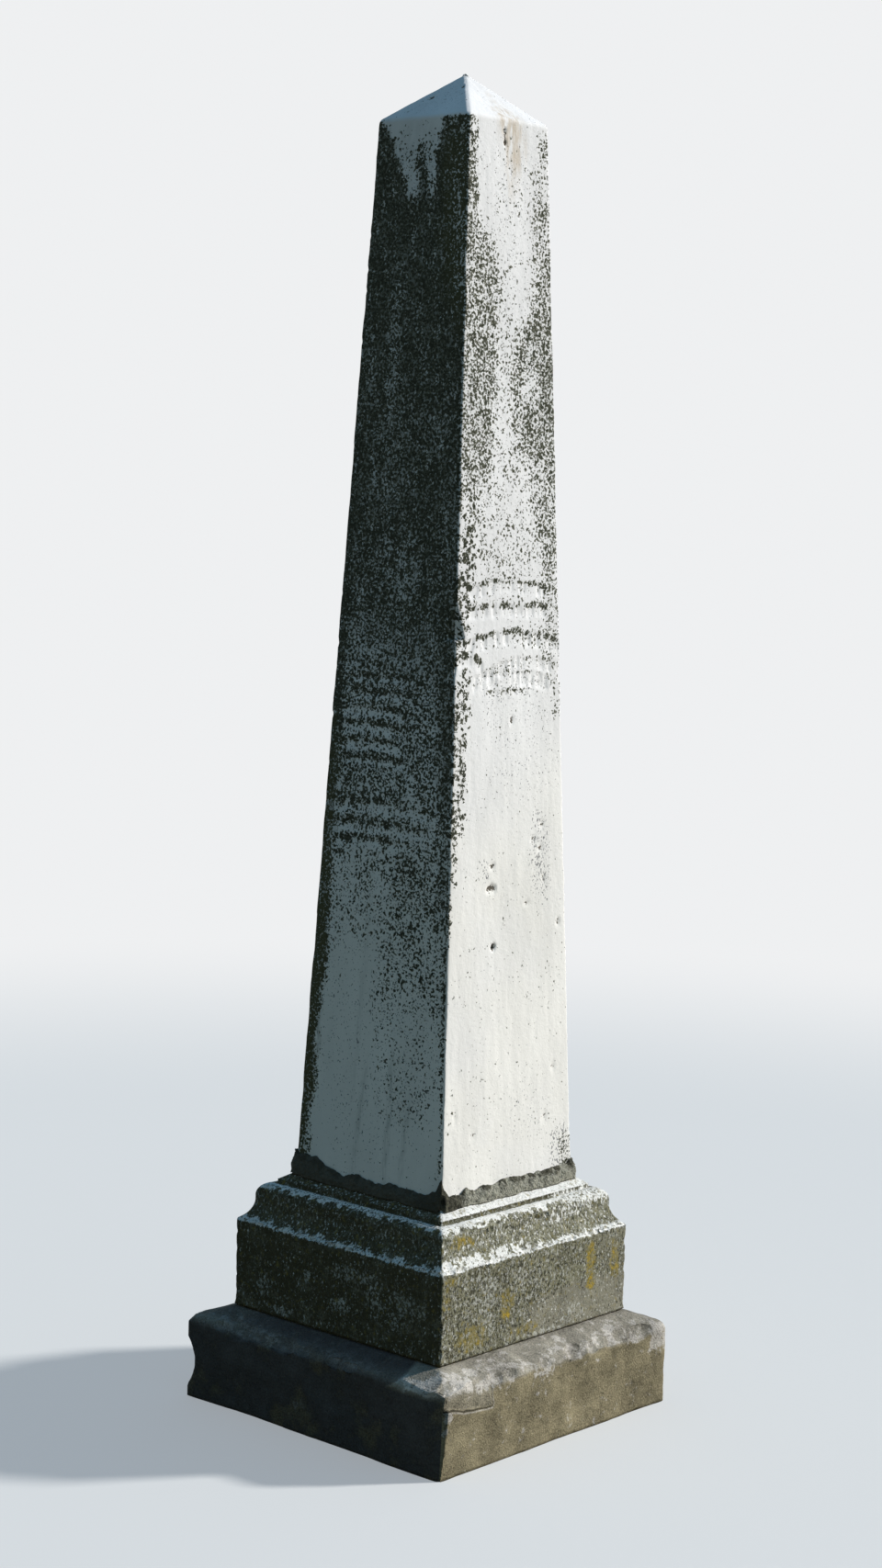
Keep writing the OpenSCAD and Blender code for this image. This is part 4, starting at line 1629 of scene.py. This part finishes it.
@dataclass
class Shaft:
    """The tapered shaft and its pyramid, cut from one stone.

    Attributes:
        foot: Height of its foot.
        foot_half: Half width at the foot.
        top_half: Half width at the shoulder.
        height: Height from its foot to the sharp line of the shoulder.
        cap_height: Height of the pyramid to its sharp tip.
        shoulder_r: Radius of the worn shoulder.
        tip_r: Radius of the worn tip.
        edge_loss: Loss across the worn upright edges.
        bands: Tops of the bands of the mesh, and their steps in millimetres, finest where marks are small.
        chips: Foot, length and depth of the chips in the near edge and in the far right one.
        grain: Noise of the stone.
    """

    foot: float
    foot_half: float
    top_half: float = 122 * MM
    height: float = 2135 * MM
    cap_height: float = 99 * MM
    shoulder_r: float = 16 * MM
    tip_r: float = 8 * MM
    edge_loss: float = 3.6 * MM
    bands: tuple[tuple[float, float], ...] = (
        (0.56, 5), (0.96, 9), (1.16, 5), (1.34, 7), (1.74, 4.2), (2.42, 8.5), (2.55, 5.5)
    )
    chips: tuple[Triple, ...] = ((1.601, 90 * MM, 22 * MM), (1.515, 70 * MM, 8 * MM))
    grain: Grain = Grain(5)

    def __post_init__(self) -> None:
        """Works out the heights of the shoulder and of the sharp tip."""
        self.shoulder = self.foot + self.height
        self.apex = self.shoulder + self.cap_height

    def half_at(self, height: float) -> float:
        """Half width of the shaft at a height."""
        share = (height - self.foot) / (self.shoulder - self.foot)
        return self.foot_half + (self.top_half - self.foot_half) * share

    def _outline(self) -> Array:
        """The elevation, from the middle of the underside to the tip."""
        outline = Outline(0.25 * self.foot_half, self.foot).line(self.foot_half, self.foot, 60 * MM)
        for top, step in self.bands:
            outline.line(self.half_at(top), top, step * MM)
        outline.line(self.half_at(self.shoulder - 9 * MM), self.shoulder - 9 * MM, 4.5 * MM)
        outline.rounded((self.top_half, self.shoulder), (0.0, self.apex), self.shoulder_r, 2 * MM)
        slope = math.atan2(self.top_half, self.apex - self.shoulder)
        centre = self.apex - self.tip_r / math.sin(slope)
        outline.line(self.tip_r * math.cos(slope), centre + self.tip_r * math.sin(slope), 6.5 * MM)
        return outline.arc((0.0, centre), self.tip_r, (math.degrees(slope), 88), 1.5 * MM).skipped()

    def _losses(self, skin: Skin) -> list[Array]:
        """Loss of the four upright edges at each ring, counted from the near one.

        Args:
            skin: The surface.

        Returns:
            The losses, each as a row with a number for each ring.
        """
        levels = skin.level[:, 0]
        found = []
        for edge in range(4):
            places = np.stack([levels, np.full_like(levels, 0.7 * edge), np.zeros_like(levels)], axis=-1)
            found.append(self.edge_loss + 3 * MM * (self.grain.rough(places, 50 * MM, 4) - 0.5))
        for edge, chip in enumerate(self.chips):
            found[edge] = np.maximum(found[edge], chip_profile(levels, *chip))
        return found

    def _break_edges(self, skin: Skin) -> None:
        """Breaks small shells off the upright edges.

        Args:
            skin: The surface.
        """
        low, high = self.foot + 0.05, self.shoulder - 0.02
        ends = [(self.half_at(height) - 1 * MM, height) for height in (low, high)]
        for turn, edge in enumerate(upright_edges(*ends)):
            EdgeWear(75, (5 * MM, 22 * MM), 4.2 * MM, 500 + turn).take(skin, self.grain, edge)

    def _wear(self, skin: Skin) -> None:
        """Dresses the faces, wears the upright edges, breaks out the chips, and darkens the hollows with dirt
        and painted shade.

        Args:
            skin: The surface.
        """
        grain, places = self.grain, skin.start
        skin.wear_edges(self._losses(skin), 1.2 * MM)
        self._break_edges(skin)
        seated = smoothstep(self.foot, self.foot + 20 * MM, skin.level)
        depth = 1.6 * MM * grain.rough(places, (0.13, 0.13, 0.3), 3)
        depth += 1.1 * MM * grain.rough(places, (14 * MM, 14 * MM, 50 * MM), 3)
        for row in WORN_ROWS:
            depth += row.nicks(skin, grain)
        # Dirt and painted shade in the hollows, and the cracks laid over them
        soot = np.full_like(depth, -2.0)
        for bite in SHAFT_BITES:
            hollow = bite.hollow(skin, grain)
            depth += bite.depth * MM * hollow
            soot = np.maximum(soot, 3.5 * (hollow + bite.soot - 1) - 0.5)
        skin.sink(depth * seated)
        skin.layers["soot"] = painted(skin, grain, soot, CRACK_PATCHES)

    def _weather(self, skin: Skin) -> None:
        """Lays on lichen, moss, stains and drips.

        Args:
            skin: The surface.
        """
        grain, places = self.grain, skin.start
        cover = painted(skin, grain, 0.003, LICHEN_PATCHES)
        for row in WORN_ROWS:
            cover = row.laid(cover, skin, grain)
        cover = cover * smoothstep(self.shoulder + 1 * MM, self.shoulder - 9 * MM, skin.level)
        skin.layers["lichen"] = deviations(cover) + 0.9 * (grain.rough(places, (0.06, 0.06, 0.15), 3) - 0.5)
        near = smoothstep(80 * MM, 50 * MM, skin.from_edge(START)) * skin.on(RIGHT)
        skin.layers["coarse"] = smoothstep(1.95, 1.80, skin.level) * near
        plain = {"moss": MOSS_PATCHES, "stain": STAIN_PATCHES, "drip": DRIP_PATCHES, "film": FILM_PATCHES}
        for name, patches in plain.items():
            skin.layers[name] = painted(skin, grain, 0.0, patches)
        skin.layers["film"] *= smoothstep(self.shoulder - 2 * MM, self.shoulder - 14 * MM, skin.level)
        skin.layers["specks"] = deviations(painted(skin, grain, 0.0015, SPECK_PATCHES))
        warm = smoothstep(1.7, 1.0, skin.level)
        low = skin.on(FRONT) * smoothstep(1.1, 0.8, skin.level)
        skin.layers["cream"] = np.clip(warm * (0.1 + 1.4 * grain.rough(places, 0.16, 3)) + 0.5 * low, 0, 1.3)

    def build(self) -> bpy.types.Object:
        """Builds and dresses the shaft."""
        skin = Skin(self._outline(), (82, 26, 26, 54), (0, 1.5, 3, 5, 7.5, 11, 16, 22))
        self._wear(skin)
        self._weather(skin)
        skin.keep_inside(*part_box("shaft"))
        return settle(skin.mesh("marble_shaft"), "shaft", ShaftMarbleFinish().build())


@dataclass(frozen=True)
class RaggedEdge:
    """The upper edge of one run of mortar.

    Attributes:
        side: The side that it runs along.
        places: Places across the side, in millimetres.
        rises: Rises over the base at those places, in millimetres.
        damp: How dark the run is painted, from 0 to 1, for dampness and shade, most on the shaded sides.
    """

    side: Side
    places: tuple[float, ...]
    rises: tuple[float, ...]
    damp: float

    def rise(self, along: Array) -> Array:
        """Rise of the edge at places across the side, in metres."""
        return np.interp(along, np.array(self.places) * MM, np.array(self.rises) * MM)


# Ragged upper edges of the four runs; the last number is each run's dampness and painted shade
RAGGED_EDGES = (
    RaggedEdge(
        RIGHT,
        (-205, -202, -197, -188, -179, -150, -130, -106, -84, -45, -14, 9, 80, 143, 185, 196, 205),
        (56, 48, 34, 28, 19, 18, 28, 18, 25, 21, 30, 27, 25, 26, 30, 34, 36),
        0.0,
    ),
    RaggedEdge(
        FRONT,
        (-205, -195, -144, -119, -90, -63, -20, 7, 51, 62, 115, 163, 190, 198, 205),
        (46, 38, 40, 28, 22, 14, 26, 18, 17, 23, 22, 20, 30, 44, 56),
        1.0,
    ),
    RaggedEdge(
        BACK, (-205, -150, -110, -60, -10, 40, 90, 150, 205), (36, 24, 30, 20, 27, 22, 30, 24, 32), 0.2
    ),
    RaggedEdge(
        LEFT, (-205, -160, -100, -40, 20, 70, 130, 180, 205), (32, 26, 22, 31, 24, 20, 28, 36, 46), 0.6
    ),
)


@dataclass
class MortarFillet:
    """The ragged fillet of mortar round the foot of the shaft, in four runs that meet in mitres.

    Attributes:
        seat: Height of the base's top, where the shaft stands.
        shaft: The shaft, whose faces the mortar lies on.
        wash_slope: Fall of the wash for each metre outwards.
        spread: How far the mortar spreads over the wash.
        lip: Thickness of its upper edge.
        bulge: How far its face bulges.
        tuck: How far it reaches into the stone.
        rows: Points up its face, of which the last is on the lip.
        step: Size of the mesh.
        grain: Noise of the mortar.
    """

    seat: float
    shaft: Shaft
    wash_slope: float
    spread: float = 12 * MM
    lip: float = 4 * MM
    bulge: float = 3.6 * MM
    tuck: float = 1.0 * MM
    rows: int = 17
    step: float = 2.4 * MM
    grain: Grain = Grain(67)

    def _section(self, along: Array, edge: RaggedEdge) -> Array:
        """The closed section at each place across the side.

        Args:
            along: Shares of the half width across the side, from -1 to 1.
            edge: The ragged upper edge of this run.

        Returns:
            Half width and rise of the section's points, for each place.
        """
        foot_half = self.shaft.foot_half
        place = along * foot_half
        spots = place_in_plan(edge.side, foot_half, place, self.seat)
        thin = 1 - 0.7 * smoothstep(0.93, 1.0, np.abs(along))
        rise = edge.rise(place) + 9 * MM * (self.grain.rough(spots, 13 * MM, 4) - 0.5)
        part = np.minimum(1, 0.5 + 0.9 * self.grain.rough(spots, 30 * MM, 3))
        reach = foot_half + self.spread * thin * part
        foot_rise = -(reach - foot_half) * self.wash_slope
        drawn = (foot_half - self.shaft.half_at(self.seat + 1.0)) / (1.0 - (self.shaft.foot - self.seat))
        wall = foot_half - drawn * rise
        lip_half = wall + self.lip * thin * (0.4 + 0.8 * self.grain.rough(spots, 21 * MM, 2))
        section = []
        for share in np.linspace(0, 1, self.rows):
            half = reach + (lip_half - reach) * share + self.bulge * thin * math.sin(math.pi * share)
            section.append((half, foot_rise + (rise - foot_rise) * share**0.9))
        section.append(((lip_half + wall) / 2, rise + 0.6 * MM))
        section.append((wall - self.tuck, rise - 0.5 * MM))
        section.append((foot_half - drawn * rise * 0.5 - self.tuck, rise * 0.5))
        section.append((np.full_like(rise, foot_half - self.tuck), np.full_like(rise, 0.3 * MM)))
        section.append(((reach + foot_half) / 2, foot_rise / 2 + 0.1 * MM))
        return np.stack([np.stack(point, axis=-1) for point in section], axis=1)

    def _run(self, edge: RaggedEdge) -> bpy.types.Object:
        """Builds one run of the fillet as a closed mesh.

        Args:
            edge: Its ragged upper edge.

        Returns:
            The new object.
        """
        count = math.ceil(2 * self.shaft.foot_half / self.step)
        along = np.linspace(-1, 1, count + 1)
        section = self._section(along, edge)
        half, height = section[..., 0], section[..., 1] + self.seat
        points = place_in_plan(edge.side, half, half * along[:, None], height)
        number = np.arange(section.shape[1])
        outer = smoothstep(0, 2, number) * smoothstep(self.rows + 1, self.rows - 1, number)
        half = half + 6.0 * MM * (self.grain.rough(points, 9 * MM, 3) - 0.5) * outer
        height = height + 3.0 * MM * (self.grain.rough(points + 1, 7 * MM, 2) - 0.5) * outer
        points = place_in_plan(edge.side, half, half * along[:, None], height)
        places, around = points.shape[:2]
        faces = []
        for place, spot in itertools.product(range(places - 1), range(around)):
            here, above = place * around + spot, place * around + (spot + 1) % around
            faces.append([here, here + around, above + around, above])
        faces.append(list(range(around)))
        faces.append([(places - 1) * around + spot for spot in reversed(range(around))])
        near = np.linalg.norm(points[..., :2] - np.array((1, -1)) * self.shaft.foot_half, axis=-1)
        rim = smoothstep(8, 15, number) * smoothstep(0.42, 0.56, self.grain.rough(points, 9 * MM, 2))
        growth = np.maximum(smoothstep(70 * MM, 35 * MM, near), 0.7 * rim).ravel()
        # Dampness and painted shade, one share for the whole run, most on the shaded sides
        layers = {"growth": growth, "damp": np.full_like(growth, edge.damp)}
        return make_object(f"mortar_fillet_{edge.side.name.lower()}", points.reshape(-1, 3), faces, layers)

    def build(self) -> list[bpy.types.Object]:
        """Builds and dresses the four runs."""
        finish = MortarFinish("fillet_mortar", (0.3, 0.292, 0.238), (0.5, 0.49, 0.44), (0.042, 0.04, 0.028))
        material = finish.build()
        runs = [(self._run(edge), f"mortar_{edge.side.name.lower()}") for edge in RAGGED_EDGES]
        return [settle(piece, node, material) for piece, node in runs]


@dataclass
class BedJoints:
    """The two thin mortar beds, which keep the frame's own solids."""

    nodes: tuple[str, ...] = ("footing_bed_joint", "shaft_bed_joint")

    def build(self) -> list[bpy.types.Object]:
        """Dresses the beds with dark, raked mortar."""
        finish = MortarFinish("bed_mortar", (0.07, 0.066, 0.045), (0.16, 0.15, 0.11), (0.025, 0.026, 0.014))
        material = finish.build()
        beds = [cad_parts[name] for name in self.nodes]
        for bed in beds:
            bed.data.materials.clear()
            bed.data.materials.append(material)
        return beds


@dataclass
class Studio:
    """The floor, the light and the background.

    Attributes:
        floor_r: Radius of the round floor.
        fade: Distances from the middle between which the floor fades into the background.
        paper: Colour of the background, and of the far floor.
        near: Colour of the near floor as it is seen.
        thrown: Colour of the light that the floor throws back.
        low: Soft light from the sides.
        high: Soft light from above.
        sun_power: Strength of the lamp.
        sun_colour: Its colour.
        sun_size: Its size as it is seen, in degrees.
        sun_turn: Its direction, in degrees round from the sunlit side towards the back.
        sun_lift: Its height, in degrees.
    """

    floor_r: float = 60.0
    fade: tuple[float, float] = (2.8, 6.0)
    paper: Colour = (0.86, 0.87, 0.88)
    near: Colour = (0.74, 0.74, 0.73)
    thrown: Colour = (0.117, 0.125, 0.11)
    low: Colour = (0.146, 0.164, 0.105)
    high: Colour = (0.076, 0.193, 0.325)
    sun_power: float = 4.75
    sun_colour: Colour = (1.0, 0.985, 0.955)
    sun_size: float = 5
    sun_turn: float = 54
    sun_lift: float = 26.5

    def _floor(self) -> None:
        """A round pale floor that fades into the background."""
        turns = np.linspace(0, 2 * math.pi, 97)[:-1]
        ring = np.stack([self.floor_r * np.cos(turns), self.floor_r * np.sin(turns), 0 * turns], axis=-1)
        floor = make_object("floor", ring, [list(range(len(ring)))], {})
        paint = Paint(bpy.data.materials.new("floor_paper"))
        away = paint.node("VectorMath", {0: paint.place}, operation="LENGTH").outputs["Value"]
        seen = paint.looked_at()
        far = paint.times(paint.total((paint.ramp(away, *self.fade), 0.65), (1.0, 0.35)), seen)
        matt = paint.node("BsdfDiffuse", {"Color": paint.blend(self.thrown, self.near, seen)})
        glow = paint.node("Emission", {"Color": self.paper})
        paint.node("OutputMaterial", {"Surface": paint.mixed(far, matt, glow)})
        floor.data.materials.append(paint.owner)

    def _world(self) -> None:
        """Soft light from all round, cooler from above, and a pale background for the camera."""
        world = bpy.data.worlds.new("studio")
        bpy.context.scene.world = world
        paint = Paint(world, "Generated")
        rising = paint.ramp(paint.node("SeparateXYZ", {0: paint.place}).outputs["Z"], 0.2, 0.6)
        soft = paint.node("Background", {"Color": paint.blend(self.low, self.high, rising)})
        paper = paint.node("Background", {"Color": self.paper})
        paint.node("OutputWorld", {"Surface": paint.mixed(paint.looked_at(), soft, paper)})

    def _lamp(self) -> None:
        """One large soft lamp, low and behind on the right, that grazes the sunlit side."""
        light = bpy.data.lights.new("key", "SUN")
        light.energy = self.sun_power
        light.angle = math.radians(self.sun_size)
        light.color = self.sun_colour
        lamp = bpy.data.objects.new("key", light)
        bpy.context.scene.collection.objects.link(lamp)
        turn, lift = math.radians(self.sun_turn), math.radians(self.sun_lift)
        towards = Vector((math.cos(turn) * math.cos(lift), math.sin(turn) * math.cos(lift), math.sin(lift)))
        lamp.rotation_euler = towards.to_track_quat("Z", "Y").to_euler()

    def build(self) -> None:
        """Sets the stage."""
        self._floor()
        self._world()
        self._lamp()
        bpy.context.scene.view_settings.view_transform = "Standard"


@dataclass(frozen=True)
class Viewpoint:
    """The photograph's viewing angle.

    Attributes:
        azimuth: Turn round the obelisk from the view along +Y, in degrees.
        distance: Distance from the shaft's axis.
        height: Height over the footing's underside.
        yaw: Turn of the camera away from the axis, in degrees.
        pitch: Tilt down, in degrees.
        roll: Roll, in degrees.
        focal: Focal length in pixels of the photograph.
        long_side: Height of the photograph in pixels.
        sensor: Length of the sensor's long side in millimetres.
    """

    azimuth: float = 41.87
    distance: float = 5.613
    height: float = 1.884
    yaw: float = 0.08
    pitch: float = 6.0
    roll: float = 1.64
    focal: float = 3000.0
    long_side: float = 1707.0
    sensor: float = 36.0

    def build(self) -> bpy.types.Object:
        """Makes the scene's camera."""
        azimuth, pitch = math.radians(self.azimuth), math.radians(self.pitch)
        facing = azimuth + math.radians(self.yaw)
        level = math.cos(pitch)
        ahead = Vector((-math.sin(facing) * level, math.cos(facing) * level, -math.sin(pitch)))
        level = ahead.cross(Vector((0, 0, 1))).normalized()
        over = level.cross(ahead)
        roll = math.radians(self.roll)
        right = level * math.cos(roll) + over * math.sin(roll)
        up = over * math.cos(roll) - level * math.sin(roll)
        data = bpy.data.cameras.new("camera")
        data.sensor_width = self.sensor
        data.lens = self.focal / self.long_side * self.sensor
        camera = bpy.data.objects.new("camera", data)
        bpy.context.scene.collection.objects.link(camera)
        camera.matrix_world = Matrix((right, up, -ahead)).transposed().to_4x4()
        camera.location = (math.sin(azimuth) * self.distance, -math.cos(azimuth) * self.distance, self.height)
        bpy.context.scene.camera = camera
        return camera


def report(piece: bpy.types.Object) -> None:
    """Logs a piece's name and the number of its faces."""
    log.info("%s: %d faces", piece.name, len(piece.data.polygons))


def main() -> None:
    """Builds the obelisk from the ground up, then its studio."""
    logging.basicConfig(level=logging.INFO, format="%(name)s: %(message)s")
    Viewpoint().build()
    footing_box, base_box, shaft_box = (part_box(name) for name in ("footing_stone", "base_stone", "shaft"))
    base = BaseStone(foot=base_box[0].z, die_half=base_box[1].x)
    footing = FootingStone(half=footing_box[1].x, height=footing_box[1].z, bed_half=base.die_half + 6 * MM)
    shaft = Shaft(foot=shaft_box[0].z, foot_half=shaft_box[1].x)
    fillet = MortarFillet(base.top, shaft, base.wash_rise / base.wash_w)
    for piece in (footing.build(), base.build(), shaft.build(), *fillet.build(), *BedJoints().build()):
        report(piece)
    Studio().build()


if __name__ == "__main__":
    main()
